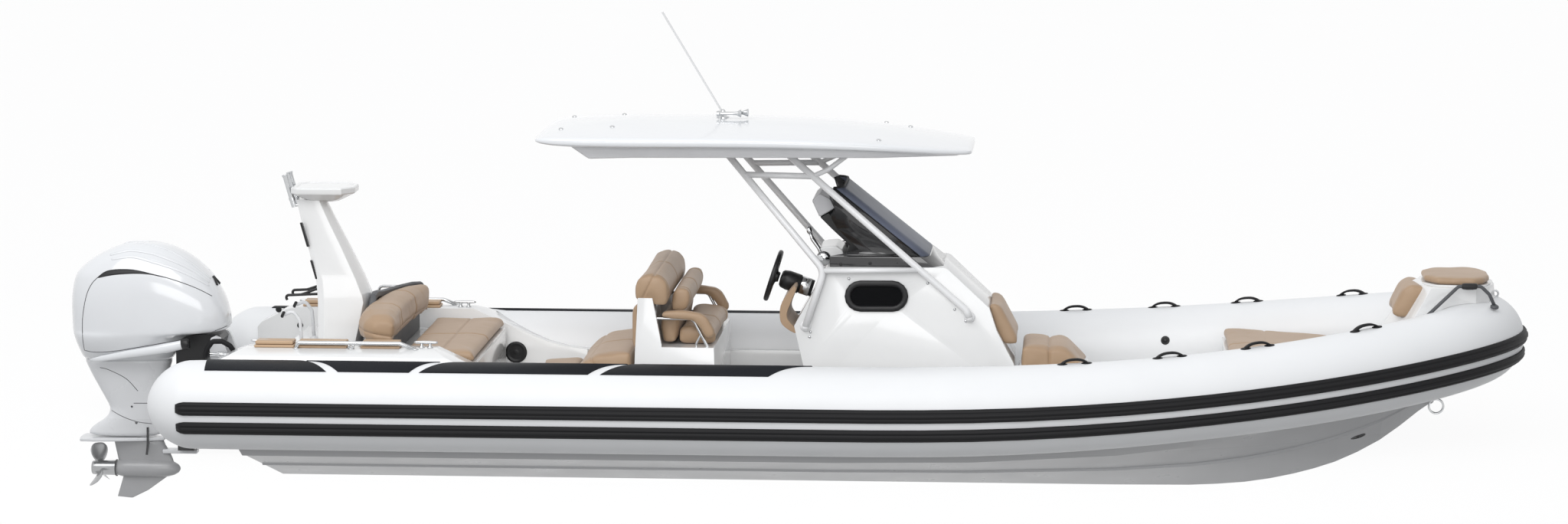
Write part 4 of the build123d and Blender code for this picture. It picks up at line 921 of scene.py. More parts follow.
# %% Gearcase
gear = bmesh.new()
plate(gear, [(-0.984, 0.025, -0.166), (-1.1, 0.075, -0.166), (-1.3, 0.104, -0.166), (-1.5, 0.12, -0.166),
    (-1.6, 0.112, -0.166),
             (-1.612, 0.05, -0.166), (-1.612, -0.05, -0.166), (-1.6, -0.112, -0.166), (-1.5, -0.12, -0.166),
                 (-1.3, -0.104, -0.166),
             (-1.1, -0.075, -0.166), (-0.984, -0.025, -0.166)], (0, 0, 0.024))
plate(gear, [(-1.0, 0.042, -0.262), (-0.742, 0.042, -0.262), (-0.742, -0.042, -0.262), (-1.0, -0.042,
    -0.262)], (0, 0, 0.03))
add_piece("gear_plate", gear, "engine_metal", "engine", edge=0.007, segments=3)
strut = bmesh.new()
skin(strut, [squared_ring(strut, z, aft, fore, half, 2.2, 28) for z, aft, fore, half in (
    (-0.15, -1.372, -1.005, 0.06), (-0.2, -1.362, -0.985, 0.05), (-0.26, -1.35, -0.95, 0.04),
    (-0.31, -1.34, -0.93, 0.034), (-0.36, -1.332, -0.915, 0.03), (-0.4, -1.33, -0.91, 0.026))])
lathe(strut, [(0.05, -0.01), (0.056, 0.0), (0.064, 0.03), (0.068, 0.08), (0.069, 0.2), (0.067, 0.3),
    (0.06, 0.37), (0.048, 0.415),
              (0.03, 0.445), (0.012, 0.458), (0.0005, 0.46)], (-1.335, 0, -0.38), (1, 0, 0), 32)
add_piece("gear_torpedo", strut, "gear_paint", "engine", ["gearcase"])
skeg = bmesh.new()
plate(skeg, [(-0.925, -0.007, -0.405), (-1.12, -0.007, -0.545), (-1.239, -0.007, -0.604), (-1.35, -0.007,
    -0.594),
             (-1.3, -0.007, -0.43), (-1.29, -0.007, -0.395)], (0, 0.014, 0))
add_piece("gear_skeg", skeg, "gear_paint", "engine", edge=0.0055, segments=3)
print("gearcase")

# %% [markdown]
# The propeller. Three broad blades twist along their length: steep at the hub, flatter at the
# tip. Each blade is a row of thin lens-shaped sections, each turned a little less than the last,
# bridged from root to tip; two copies are rotated round the shaft. The hub is turned.

# %% Propeller
PROP_AXIS = Vector((-1.438, 0, -0.38))
PROP_BLADE = (  # radius, chord, thickness, pitch in degrees, drift aft
    (0.045, 0.09, 0.014, 60, 0.0), (0.07, 0.128, 0.012, 54, 0.003), (0.1, 0.156, 0.01, 48, 0.006),
        (0.13, 0.164, 0.008, 42, 0.008),
    (0.155, 0.148, 0.007, 38, 0.01), (0.176, 0.112, 0.006, 35, 0.012), (0.189, 0.058, 0.004, 34, 0.014),
)
screw = bmesh.new()
for turn in (0, 120, 240):
    loops = []
    for radius, chord, thick, pitch, drift in PROP_BLADE:
        lean = Matrix.Rotation(radians(pitch), 3, "Z")
        section = [(-0.5, 0), (-0.34, 0.4), (0, 0.5), (0.34, 0.4), (0.5, 0), (0.34, -0.4), (0, -0.5),
            (-0.34, -0.4)]
        spread = [lean @ Vector((chord * u, thick * v, 0)) for u, v in section]
        spin_x = Matrix.Rotation(radians(turn), 3, "X")
        loops.append(loop_at(screw,
            [PROP_AXIS + spin_x @ Vector((p.x - 0.035 - drift, p.y, radius)) for p in spread]))
    skin(screw, loops)
lathe(screw, [(0.042, -0.098), (0.05, -0.096), (0.054, -0.07), (0.054, 0.06), (0.058, 0.08), (0.058, 0.098),
    (0.02, 0.098),
              (0.018, -0.02), (0.036, -0.06), (0.042, -0.098)], PROP_AXIS, (1, 0, 0), 36)
prop = add_piece("propeller_blades", screw, "prop_steel", "screw", ["propeller"])
prop_smooth = prop.modifiers.new("smooth", "SUBSURF")
prop_smooth.levels = prop_smooth.render_levels = 1
ring = bmesh.new()
lathe(ring, [(0.0595, -0.006), (0.062, -0.004), (0.062, 0.004), (0.0595, 0.006), (0.057, 0.0),
    (0.0595, -0.006)], (-1.352, 0, -0.38), (1, 0, 0), 32)
add_piece("propeller_ring", ring, "black_rubber", "screw")
print("propeller")

# %% [markdown]
# Steering gear between hood and boat. A white bar sweeps forward along the lower cowling, held by
# a black clamp. Pipes are bent, the bar is a tapering row of rings. The hose and the ram are made
# in the last cells.

# %% Steering bar, hose and ram
bar = bmesh.new()
rows = []
for x, z, half_y, half_z in ((-1.49, 0.452, 0.006, 0.012), (-1.4, 0.47, 0.014, 0.022), (-1.2, 0.51, 0.02,
    0.03), (-1.0, 0.545, 0.024, 0.034),
                             (-0.9, 0.566, 0.026, 0.036), (-0.79, 0.59, 0.027, 0.034), (-0.775, 0.593, 0.026,
                                 0.033)):
    width = 0.195 + 0.092 * min(1.0, (x + 1.49) / 0.45)
    rows.append(ring_at(bar, (x, -width, z), facing((1, 0, 0.2)), (half_y, half_z), 20))
skin(bar, rows)
both_sides(bar)
add_piece("steering_bars", bar, "engine_white", "engine")
clamps = bmesh.new()
skin(clamps, [ring_at(clamps, (x, -0.295, z), facing((1, 0, 0.2)), (r, r * 1.15), 20) for x, z, r in (
    (-0.788, 0.592, 0.031), (-0.784, 0.593, 0.034), (-0.74, 0.602, 0.034), (-0.734, 0.603, 0.03))])
both_sides(clamps)
add_piece("steering_clamps", clamps, "black_plastic", "engine")
print("steering gear")
# %% [markdown]
# Cushions. Marine cushions are closed-cell foam in stretched vinyl. They are almost flat on top,
# crowned towards the middle, pulled in at the seams, and soft at every edge. A subdivided box
# looks inflated; a cloth simulation on the true outline looks upholstered, because pressure pushes
# the skin out where nothing holds it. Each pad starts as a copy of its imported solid, a little
# smaller, or as an outline drawn anew where the solid is too plain. It is remeshed evenly, inflated for twenty frames, capped, and smoothed. Seams are cut into
# it afterwards, since the even mesh would lose them.

# %% Pad maker
PAD_VOXEL = 0.016


def spare_object(name, mesh):
    obj = bpy.data.objects.new(name, mesh)
    bpy.context.scene.collection.objects.link(obj)
    return obj


def baked_mesh(obj):
    """The mesh of an object with its modifiers applied."""
    bpy.context.view_layer.update()
    return bpy.data.meshes.new_from_object(obj.evaluated_get(bpy.context.evaluated_depsgraph_get()))


def drop(obj):
    mesh = obj.data
    bpy.data.objects.remove(obj)
    bpy.data.meshes.remove(mesh)


def loose_islands(shape):
    """Groups of connected vertices."""
    left, groups = set(shape.verts), []
    while left:
        stack, group = [left.pop()], []
        while stack:
            vert = stack.pop()
            group.append(vert)
            for edge in vert.link_edges:
                other = edge.other_vert(vert)
                if other in left:
                    left.remove(other)
                    stack.append(other)
        groups.append(group)
    return groups


def foam_core(node, island, inset):
    """A mesh of one solid of a cushion node, its faces moved in by inset."""
    shape = merged_copy(node)
    groups = sorted(loose_islands(shape), key=lambda g: min(v.co.x + v.co.y * 0.01 for v in g))
    keep = set(groups[island])
    bmesh.ops.delete(shape, geom=[v for v in shape.verts if v not in keep], context="VERTS")
    bmesh.ops.triangulate(shape, faces=shape.faces)
    bmesh.ops.dissolve_limit(shape, angle_limit=radians(2), verts=shape.verts, edges=shape.edges)
    low, high = box_of(shape.verts)
    middle, size = (low + high) / 2, high - low
    scale = [max(0.2, 1 - 2 * inset / side) for side in size]
    bmesh.ops.scale(shape, verts=shape.verts, vec=scale, space=Matrix.Translation(-middle))
    bmesh.ops.bevel(shape, geom=shape.edges, offset=min(0.022, min(size) * 0.22), offset_type="OFFSET",
        segments=3,
                    profile=0.5, affect="EDGES", material=-1, clamp_overlap=True)
    mesh = bpy.data.meshes.new(node + "_core")
    shape.to_mesh(mesh)
    shape.free()
    return mesh


def drawn_core(outline, aft, fore):
    """A core drawn in a side view as (x, z) points, from one y to another."""
    shape = bmesh.new()
    plate(shape, [(x, aft, z) for x, z in outline], (0, fore - aft, 0))
    bmesh.ops.bevel(shape, geom=shape.edges, offset=0.014, offset_type="OFFSET", segments=2, profile=0.5,
        affect="EDGES", material=-1, clamp_overlap=True)
    mesh = bpy.data.meshes.new("drawn_core")
    shape.to_mesh(mesh)
    shape.free()
    return mesh


def box_of(verts):
    """Lowest and highest corner of some vertices."""
    places = [vert.co for vert in verts]
    return (Vector(min(p[k] for p in places) for k in range(3)),
        Vector(max(p[k] for p in places) for k in range(3)))


def inflate(mesh, name, cap, pressure):
    """Remeshes a core evenly and lets cloth pressure swell it, by no more than cap."""
    core = spare_object(name + "_core", mesh)
    even = core.modifiers.new("even", "REMESH")
    even.mode, even.voxel_size = "VOXEL", PAD_VOXEL
    even_mesh = baked_mesh(core)
    drop(core)
    pad = spare_object(name + "_cloth", even_mesh)
    start = [vert.co.copy() for vert in even_mesh.vertices]
    cloth = pad.modifiers.new("cloth", "CLOTH")
    cloth.settings.use_pressure = True
    cloth.settings.uniform_pressure_force = pressure
    cloth.settings.tension_stiffness = cloth.settings.compression_stiffness = 12
    cloth.settings.shear_stiffness = 6
    cloth.settings.bending_stiffness = 2.5
    cloth.settings.effector_weights.gravity = 0
    cloth.point_cache.frame_start, cloth.point_cache.frame_end = 1, 20
    for frame_number in range(1, 21):
        bpy.context.scene.frame_set(frame_number)
    rest = baked_mesh(pad)
    bpy.context.scene.frame_set(1)
    drop(pad)
    for vert, origin in zip(rest.vertices, start):
        move = vert.co - origin
        if move.length > cap:
            vert.co = origin + move * (cap / move.length)
    return rest


def press_lines(shape, lines, depth, width, keep=None):
    """Sewn channels: planes (point, normal) whose crossings sink into the skin."""
    for point, normal in lines:
        point, normal = Vector(point), Vector(normal).normalized()
        for shift in (-width, -width / 3, width / 3, width):
            bmesh.ops.bisect_plane(
                shape, geom=shape.verts[:] + shape.edges[:] + shape.faces[:], plane_co=point + normal * shift,
                    plane_no=normal, dist=0.0005)
    shape.normal_update()
    moves = {}
    for point, normal in lines:
        point, normal = Vector(point), Vector(normal).normalized()
        for vert in shape.verts:
            away = abs((vert.co - point).dot(normal))
            if away < 2.2 * width and (keep is None or keep(vert.co)):
                fall = depth * 2.718 ** (-(away / width) ** 2)
                moves[vert] = max(moves.get(vert, 0.0), fall)
    for vert, fall in moves.items():
        vert.co -= vert.normal * fall


def hold(shape, low=None, high=None):
    """Keeps a pad flat where it rests and inside its place."""
    for vert in shape.verts:
        for axis in range(3):
            if low is not None and low[axis] is not None:
                vert.co[axis] = max(vert.co[axis], low[axis])
            if high is not None and high[axis] is not None:
                vert.co[axis] = min(vert.co[axis], high[axis])


def pad_piece(name, node, body, islands=1, finish="tan_hide", inset=0.006, cap=0.014, pressure=4.0, lines=(),
              depth=0.007, width=0.008, keep=None, grow=0.004, dents=(), ease=None, cores=None):
    """A finished cushion that stands for a cushion node."""
    low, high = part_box(node)
    whole = bmesh.new()
    for core in cores or [foam_core(node, island, inset) for island in range(islands)]:
        mesh = inflate(core, name, cap, pressure)
        whole.from_mesh(mesh)
        bpy.data.meshes.remove(mesh)
    for _ in range(3):
        bmesh.ops.smooth_vert(whole, verts=whole.verts, factor=0.5, use_axis_x=True, use_axis_y=True,
            use_axis_z=True)
    if ease:
        for vert in whole.verts:
            vert.co = Vector(ease(*vert.co))
    if lines:
        press_lines(whole, lines, depth, width, keep)
    for place, radius, sink in dents:
        place = Vector(place)
        for vert in whole.verts:
            away = (vert.co - place).length
            if away < radius * 2:
                vert.co -= vert.normal * sink * 2.718 ** (-(away / radius) ** 2)
    hold(whole, (low.x - grow, low.y - grow, low.z), (high.x + grow, high.y + grow, high.z + grow))
    bmesh.ops.recalc_face_normals(whole, faces=whole.faces)
    pad = add_piece(name, whole, finish, body, [node])
    print(name, len(pad.data.polygons), "faces")
    return pad


# %% [markdown]
# The pads themselves. The sewn channels follow the way each one is made: the bench and lounge have
# cross channels where the foam folds, the helm bolster has one along its shoulder, and the bow pad
# has one along its middle and one across.

# %% Cushions, stern to bow
def cross(x, z=0.0, lean=0.0):
    """A channel across the boat at x, its plane leaned from upright."""
    return (x, 0, z), (cos(lean), 0, sin(lean))


def length(y):
    return (0, y, 0), (0, 1, 0)


def level_seat(x, y, z):
    """Takes the rise out of the seat's top, so it is level from the back to its front roll."""
    packed_top = 0.69 - 0.055 * max(0.0, min(1.0, (x - 1.1) / 0.32)) ** 1.3
    return x, y, 0.576 + (z - 0.576) * (0.647 - 0.576) / (packed_top - 0.576)


pad_piece("bench_seat_pad", "bench_cushion", "bench_seat", lines=(cross(1.19), length(0.0)), depth=0.01,
    cap=0.016, ease=level_seat)
BACK_ROWS = (  # y, aft x low, aft x high, front x low, front x high, top
    (-0.785, 0.7, 0.73, 0.836, 0.85, 0.85), (-0.72, 0.62, 0.665, 0.834, 0.856, 0.885), (-0.55, 0.552, 0.605,
        0.828, 0.85, 0.902),
    (-0.3, 0.535, 0.59, 0.822, 0.845, 0.908), (0.0, 0.552, 0.608, 0.822, 0.845, 0.912), (0.3, 0.575, 0.645,
        0.83, 0.852, 0.916),
    (0.55, 0.655, 0.72, 0.846, 0.864, 0.918), (0.72, 0.745, 0.785, 0.86, 0.876, 0.916), (0.785, 0.79, 0.81,
        0.866, 0.88, 0.902),
)
arc = bmesh.new()
skin(arc, [
    loop_at(arc, ((low + 0.008, y, 0.704), (low - 0.004, y, 0.77), (low + 0.01, y, 0.83),
        (high, y, top - 0.03), (high + 0.032, y, top - 0.006),
                  (far - 0.034, y, top - 0.006), (far, y, top - 0.034), (front + 0.008, y, 0.77),
                      (front, y, 0.704)))
    for y, low, high, front, far, top in BACK_ROWS])
arc_core = bpy.data.meshes.new("arc_core")
arc.to_mesh(arc_core)
arc.free()
pad_piece("bench_back_pad", "bench_backrest", "boat", cores=[arc_core], lines=(((0, 0, 0.866), (0.15, 0, 1)),
    ((0, 0, 0.785), (0.15, 0, 1)), length(0.3), length(-0.3)),
          cap=0.012, grow=0.03, depth=0.008)

BOLSTER = ((2.574, 1.01), (2.573, 1.11), (2.598, 1.166), (2.676, 1.194), (2.76, 1.178), (2.806, 1.13),
    (2.816, 1.045), (2.8, 0.97),
           (2.735, 0.952), (2.686, 0.994))
UPPER_BACK = ((2.83, 1.0), (2.838, 1.06), (2.886, 1.088), (2.944, 1.074), (2.962, 1.02), (2.936, 0.932),
    (2.894, 0.915), (2.824, 0.922))
LOWER_BACK = ((2.765, 0.895), (2.888, 0.9), (2.868, 0.8), (2.85, 0.69), (2.77, 0.69), (2.75, 0.8))
HELM_SEAT = ((2.872, 0.688), (2.88, 0.795), (2.95, 0.805), (3.1, 0.79), (3.14, 0.765), (3.142, 0.688))
ARMREST = ((2.755, 0.89), (2.77, 0.928), (2.9, 0.938), (3.044, 0.92), (3.092, 0.885), (3.148, 0.779),
    (3.126, 0.738), (3.08, 0.738), (3.043, 0.808),
           (2.99, 0.864), (2.823, 0.877))
LOUNGE = ((2.084, 0.362), (2.088, 0.43), (2.116, 0.468), (2.192, 0.54), (2.29, 0.592), (2.44, 0.612),
    (2.54, 0.62), (2.54, 0.362))
LOUNGE_FRONT = ((1.765, 0.357), (1.772, 0.372), (2.06, 0.388), (2.074, 0.357))
AFT_PANEL = ((2.548, 0.65), (2.552, 0.93), (2.582, 0.985), (2.596, 0.965), (2.584, 0.65))
pad_piece("helm_bolster_pad", "helm_bolster", "boat", cores=[drawn_core(BOLSTER, -0.692, 0.692)],
          lines=(length(0.645), length(-0.645), length(0.0), ((2.7, 0, 1.165), (1, 0, -0.5))), cap=0.012,
              grow=0.02)
pad_piece("helm_seat_pads", "helm_cushions", "boat",
          cores=[drawn_core(UPPER_BACK, -0.566, 0.566), drawn_core(LOWER_BACK, -0.566, 0.566),
              drawn_core(HELM_SEAT, -0.566, 0.566)],
          lines=(length(0.0), length(0.48), length(-0.48)), cap=0.012, grow=0.06)
pad_piece("lounge_pads", "lounge_cushions", "boat",
          cores=[drawn_core(LOUNGE_FRONT, -0.602, 0.602), drawn_core(LOUNGE, -0.602, 0.602),
              drawn_core(AFT_PANEL, -0.602, 0.602)],
          lines=(cross(2.24, 0.57, 0.5), length(0.0)), cap=0.01, grow=0.012)
pad_piece("armrest_pads_soft", "armrest_pads", "boat",
    cores=[drawn_core(ARMREST, side - 0.04, side + 0.04) for side in (-0.64, 0.64)],
          lines=(length(0.64), length(-0.64)), depth=0.003, width=0.005, cap=0.008, pressure=2.0,
              grow=0.06)
pad_piece("front_seat_pad", "front_seat_cushion", "front_seat", lines=(cross(5.528, 0.628),), depth=0.012,
    inset=0.001, cap=0.014, grow=0.008)
pad_piece("front_back_pad", "front_backrest", "boat", lines=(), cap=0.01)
pad_piece("bow_pad", "bow_cushion", "bow_seat", lines=(length(0.0), cross(7.1)), depth=0.008, cap=0.016,
          dents=(((6.98, -0.45, 0.64), 0.022, 0.012), ((6.98, 0.45, 0.64), 0.022, 0.012)))
pad_piece("bow_pod_pad", "pod_cushion", "pod_seat", lines=(), inset=0.002, cap=0.006, pressure=3.0)
pad_piece("bow_lean_pad", "lean_pad", "boat", lines=(), inset=-0.01, cap=0.012, grow=0.022)
# %% [markdown]
# Console trim. The oval side windows sit in a thick black gasket with a glossy inner lip, and the
# console carries dome-headed bolts. The gasket is a rounded section swept round the oval; the
# bolts are turned once each.

# %% Window gaskets and bolts
def console_half(x):
    """Half width of the console, which tapers forward, in metres."""
    return 0.45 - 0.05 * (x - 3.69)


WINDOW_CENTRE = Vector((4.288, 0, 1.02))


def oval_points(length, height, count=9):
    """Points of a straight-sided oval, as (along, up)."""
    radius, run = height / 2, (length - height) / 2
    out = []
    for side, start in ((1, -90), (-1, 90)):
        for index in range(count):
            angle = radians(start + 180 * index / (count - 1))
            out.append((side * run + radius * cos(angle), radius * sin(angle)))
    return out


def wall_place(along, up, stand, x=WINDOW_CENTRE.x, z=WINDOW_CENTRE.z):
    """A point on the starboard console wall, standing off it."""
    here = x + along
    return Vector((here, -console_half(here) - stand, z + up))


gaskets = bmesh.new()
GASKET = ((0.0, 0.0), (0.0, 0.01), (0.006, 0.014), (0.024, 0.016), (0.034, 0.012), (0.04, 0.002),
    (0.04, -0.012))
rows = []
for inset, stand in GASKET:
    rows.append(loop_at(gaskets, [wall_place(a, u, stand) for a,
        u in oval_points(0.452 - 2 * inset, 0.222 - 2 * inset)]))
for near, far in zip(rows, rows[1:]):
    bmesh.ops.bridge_loops(gaskets, edges=near + far)
bmesh.ops.recalc_face_normals(gaskets, faces=gaskets.faces)
add_piece("window_gasket", gaskets, "black_plastic").modifiers.new("wall",
    "SOLIDIFY").thickness = -0.002

BOLTS = ((4.09, 1.146), (4.655, 1.114), (4.848, 0.925), (4.929, 0.84), (3.815, 0.758), (3.809, 0.722))
bolts = bmesh.new()
BOLT_HEAD = [(0.0005, -0.002), (0.01, -0.002), (0.011, 0.001), (0.008, 0.005), (0.0005, 0.007)]
for x, z in BOLTS:
    lathe(bolts, BOLT_HEAD, (x, -console_half(x), z), (0, -1, 0), 14)
both_sides(bolts)
add_piece("console_bolts", bolts, "polished_steel")
rounded("console", "gelcoat", "boat", 0.012)
print("console trim")

# %% [markdown]
# The windscreen. Three things make it: black side panels with a swept-back aft edge, a tinted
# front that wraps the corners, and a dark edging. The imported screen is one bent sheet, so it is
# replaced by separate sheets that follow the same planes and lines.

# %% Windscreen
SCREEN_BASE_Z, SCREEN_TOP_Z = 1.3, 1.795
SCREEN_BASE_X, SCREEN_TOP_X = 4.668, 4.045


def screen_front_x(z):
    return SCREEN_BASE_X + (SCREEN_TOP_X - SCREEN_BASE_X) * (z - SCREEN_BASE_Z) / (SCREEN_TOP_Z - SCREEN_BASE_Z)


SCREEN_PLAN = ((-0.07, 0.367), (-0.03, 0.34), (-0.006, 0.3), (0.0, 0.255), (0.0, 0.0))    # x from the front line, half width
sides = bmesh.new()
SIDE_EDGE = (
    (3.958, 1.305), (4.045, 1.318), (4.16, 1.352), (4.075, 1.432), (4.005, 1.5), (3.962, 1.572), (3.957, 1.6),
        (3.985, 1.64),
    (3.958, 1.706), (3.935, 1.78), (3.968, 1.792), (3.975, 1.792))
outline = [Vector((x, -0.388, z)) for x, z in SIDE_EDGE]
outline.append(Vector((screen_front_x(1.305) - 0.072, -0.372, 1.305)))
plate(sides, outline, (0, 0.006, 0))
both_sides(sides)
add_piece("screen_sides", sides, "black_gloss", stands_for=["windscreen"])

front = bmesh.new()
rows = []
for z in (1.302, 1.42, 1.55, 1.68, 1.793):
    half = [Vector((screen_front_x(z) + dx, y, z)) for dx, y in SCREEN_PLAN]
    line = [Vector((p.x, -p.y, p.z)) for p in half[:-1]] + half[::-1]
    verts = [front.verts.new(p) for p in line]
    rows.append([front.edges.new(pair) for pair in zip(verts, verts[1:])])
for near, far in zip(rows, rows[1:]):
    bmesh.ops.bridge_loops(front, edges=near + far)
bmesh.ops.recalc_face_normals(front, faces=front.faces)
front_piece = add_piece("screen_front", front, "blue_tint")
front_piece.modifiers.new("sheet", "SOLIDIFY").thickness = 0.006

edging = bmesh.new()
for dx, half_y in ((-0.07, 0.367),):
    corner = [Vector((screen_front_x(z) + dx, -half_y, z)) for z in (1.302, 1.793)]
    bent_pipe(edging, corner, 0.006, 0.01, 8)
both_sides(edging)
top_z = 1.793
half = [Vector((screen_front_x(top_z) + dx, y, top_z)) for dx, y in SCREEN_PLAN[:-1]]
bent_pipe(edging, [Vector((p.x, -p.y, p.z)) for p in half] + half[::-1], 0.008, 0.01, 8)
add_piece("screen_edging", edging, "black_rubber")
rounded("windscreen_base", "black_gloss", "boat", 0.004)
BASE_BOLTS = ((4.03, 1.243), (4.24, 1.252), (4.43, 1.252))
studs = bmesh.new()
for x, z in BASE_BOLTS:
    lathe(studs, [(0.0005, -0.002), (0.012, -0.002), (0.012, 0.002), (0.008, 0.003), (0.0005, 0.003)],
        (x, -console_half(x) + 0.036, z), (0, -1, 0), 16)
both_sides(studs)
add_piece("screen_studs", studs, "black_plastic")
print("windscreen")

# %% [markdown]
# The helm. A pale instrument hood leans over a dark fairing; the wheel stands on a black and
# polished column, with a throttle beside it and a padded knee roll below. The wheel's rim is a
# ring spun round the shaft; its spokes are tapering bars.

# %% Instrument hood and fairing
dash = bmesh.new()
plate(dash, [(x, -0.29, z) for x, z in (
    (3.815, 1.69), (3.872, 1.741), (3.945, 1.705), (3.985, 1.64), (3.935, 1.607), (3.87, 1.57))],
        (0, 0.58, 0))
add_piece("instrument_hood", dash, "pale_plastic", stands_for=["dash"], edge=0.01,
    segments=3)
fairing = bmesh.new()
plate(fairing, [(x, -0.27, z) for x, z in (
    (3.872, 1.568), (3.935, 1.602), (4.03, 1.5), (4.17, 1.335), (4.19, 1.228), (4.02, 1.228), (4.085, 1.365),
        (3.96, 1.48))], (0, 0.54, 0))
add_piece("instrument_fairing", fairing, "black_plastic", edge=0.008, segments=2)
pale = bmesh.new()
plate(pale, [(x, -0.2, z) for x, z in (
    (3.845, 1.228), (3.862, 1.33), (3.905, 1.345), (3.985, 1.352), (4.03, 1.32), (4.06, 1.228))], (0, 0.4, 0))
add_piece("switch_panel", pale, "gelcoat", edge=0.01, segments=3)

# %% Wheel, column and throttle
WHEEL_CENTRE = Vector((3.518, 0, 1.103))
WHEEL_AXIS = Vector((-0.951, 0, 0.309))
wheel = bmesh.new()
turn = facing(WHEEL_AXIS, (0, 1, 0))
made = bmesh.ops.create_circle(wheel, radius=1, segments=14, matrix=Matrix.Translation(
    WHEEL_CENTRE + turn @ Vector((0.178, 0, 0))) @ (turn @ Matrix.Rotation(radians(90), 3,
        "X")).to_4x4() @ Matrix.Diagonal((0.016, 0.018, 1, 1)))
rim_edges = list({edge for vert in made["verts"] for edge in vert.link_edges})
bmesh.ops.spin(wheel, geom=made["verts"] + rim_edges, cent=WHEEL_CENTRE, axis=WHEEL_AXIS, angle=2 * pi,
    steps=56, use_merge=True)
bmesh.ops.remove_doubles(wheel, verts=wheel.verts, dist=0.0003)
for spoke_turn in (90, 210, 330):
    lean = turn @ Matrix.Rotation(radians(spoke_turn), 3, "Z")
    skin(wheel, [ring_at(wheel, WHEEL_CENTRE + lean @ Vector((reach, 0, drop_by)),
        lean @ Matrix.Rotation(radians(90), 3, "Y"), (thick, half), 12)
                 for reach, drop_by, half, thick in ((0.026, -0.022, 0.02, 0.01),
                     (0.07, -0.016, 0.017, 0.006), (0.12, -0.006, 0.015, 0.005), (0.17, 0, 0.017, 0.006))])
lathe(wheel, [(0.0005, -0.044), (0.034, -0.044), (0.04, -0.03), (0.042, -0.01), (0.034, 0.004),
    (0.0005, 0.008)], WHEEL_CENTRE, WHEEL_AXIS, 28)
bmesh.ops.recalc_face_normals(wheel, faces=wheel.faces)
add_piece("helm_wheel_rim", wheel, "black_plastic", "helm_wheel", ["steering_wheel"])

column = bmesh.new()
lathe(column, [(0.0005, -0.3), (0.062, -0.3), (0.062, -0.205), (0.07, -0.2), (0.072, -0.11), (0.064, -0.07),
    (0.05, -0.056), (0.0005, -0.052)],
      WHEEL_CENTRE, WHEEL_AXIS, 32)
add_piece("wheel_column", column, "black_plastic")
collar_ring = bmesh.new()
lathe(collar_ring, [(0.062, -0.28), (0.066, -0.278), (0.066, -0.212), (0.062, -0.208), (0.06, -0.24),
    (0.062, -0.28)], WHEEL_CENTRE, WHEEL_AXIS, 32)
add_piece("wheel_column_sleeve", collar_ring, "polished_steel")
throttle = bmesh.new()
bent_pipe(throttle, [(3.9, -0.16, 1.228), (3.86, -0.16, 1.33), (3.8, -0.16, 1.42), (3.79, -0.16, 1.455)],
    0.012, 0.03, 12)
bent_pipe(throttle, [(3.9, -0.2, 1.228), (3.86, -0.2, 1.33), (3.81, -0.2, 1.4), (3.8, -0.2, 1.445)], 0.012,
    0.03, 12)
for y in (-0.16, -0.2):
    lathe(throttle, [(0.0005, -0.018), (0.014, -0.016), (0.02, 0.0), (0.018, 0.02), (0.01, 0.032),
        (0.0005, 0.034)], (3.792, y, 1.455), (-0.3, 0, 1), 16)
lathe(throttle, [(0.0005, -0.05), (0.052, -0.05), (0.055, -0.02), (0.05, 0.03), (0.0005, 0.05)],
    (3.895, -0.18, 1.26), (0, 1, 0), 24)
add_piece("throttle_levers", throttle, "polished_steel")

# %% Knee roll
knee = bmesh.new()
KNEE = ((3.68, 1.06), (3.6, 0.95), (3.582, 0.864), (3.6, 0.783), (3.69, 0.722), (3.7, 0.752), (3.645, 0.815),
    (3.634, 0.865), (3.66, 0.939), (3.7, 1.04))
plate(knee, [(p.x, -0.28, p.z) for p in smoothed([(x, 0, z) for x, z in KNEE], 3, True)], (0, 0.56, 0))
knee_piece = add_piece("knee_roll", knee, "tan_hide", edge=0.01, segments=3)
print("helm")

# %% [markdown]
# Roof legs. Each side has bent white pipes: a rear leg with a knee that runs down the console,
# a front leg, a brace and a rail. Real pipes have smooth walls and sit on
# small feet, so they are bent from rings. Rounded feet close the lower ends.

# %% Pipes and feet
def leg_side(x, stand=0.0253):
    return -(console_half(x) + stand)


legs = bmesh.new()
REAR_KNEE = Vector((3.915, leg_side(3.915), 1.205))
REAR_TOP = Vector((3.17, -0.33, 2.075))
FRONT_KNEE = Vector((4.6, leg_side(4.6), 1.212))
FRONT_TOP = Vector((3.61, -0.43, 2.075))
bent_pipe(legs, [(3.78, leg_side(3.78), 0.8), REAR_KNEE, REAR_TOP], 0.025, 0.11, 20)
bent_pipe(legs, [(4.955, leg_side(4.955), 0.868), (4.93, leg_side(4.93), 0.925), FRONT_KNEE, FRONT_TOP],
    0.025, 0.06, 20)


def on_leg(knee, top, z):
    return knee + (top - knee) * ((z - knee.z) / (top.z - knee.z))


brace_aft, brace_fore = on_leg(REAR_KNEE, REAR_TOP, 1.882), on_leg(FRONT_KNEE, FRONT_TOP, 1.882)
bent_pipe(legs, [brace_aft, brace_fore], 0.022, 0.05, 18)
bent_pipe(legs, [REAR_KNEE, FRONT_KNEE], 0.02, 0.05, 18)
bent_pipe(legs, [brace_fore, (brace_fore.x + 0.11, brace_fore.y, 1.932), (brace_fore.x + 0.3, brace_fore.y,
    2.075)], 0.018, 0.07, 16)
for foot in ((3.78, 0.8), (4.955, 0.868)):
    lathe(legs, [(0.0005, -0.006), (0.04, -0.006), (0.041, 0.002), (0.03, 0.008), (0.0005, 0.012)],
        (foot[0], -console_half(foot[0]), foot[1]), (0, -1, 0), 24)
    lathe(legs, [(0.0005, -0.024), (0.024, -0.018), (0.0252, 0.0), (0.022, 0.012), (0.0005, 0.018)],
        (foot[0], leg_side(foot[0]), foot[1]), (0.2, 0, 1), 20)
both_sides(legs)
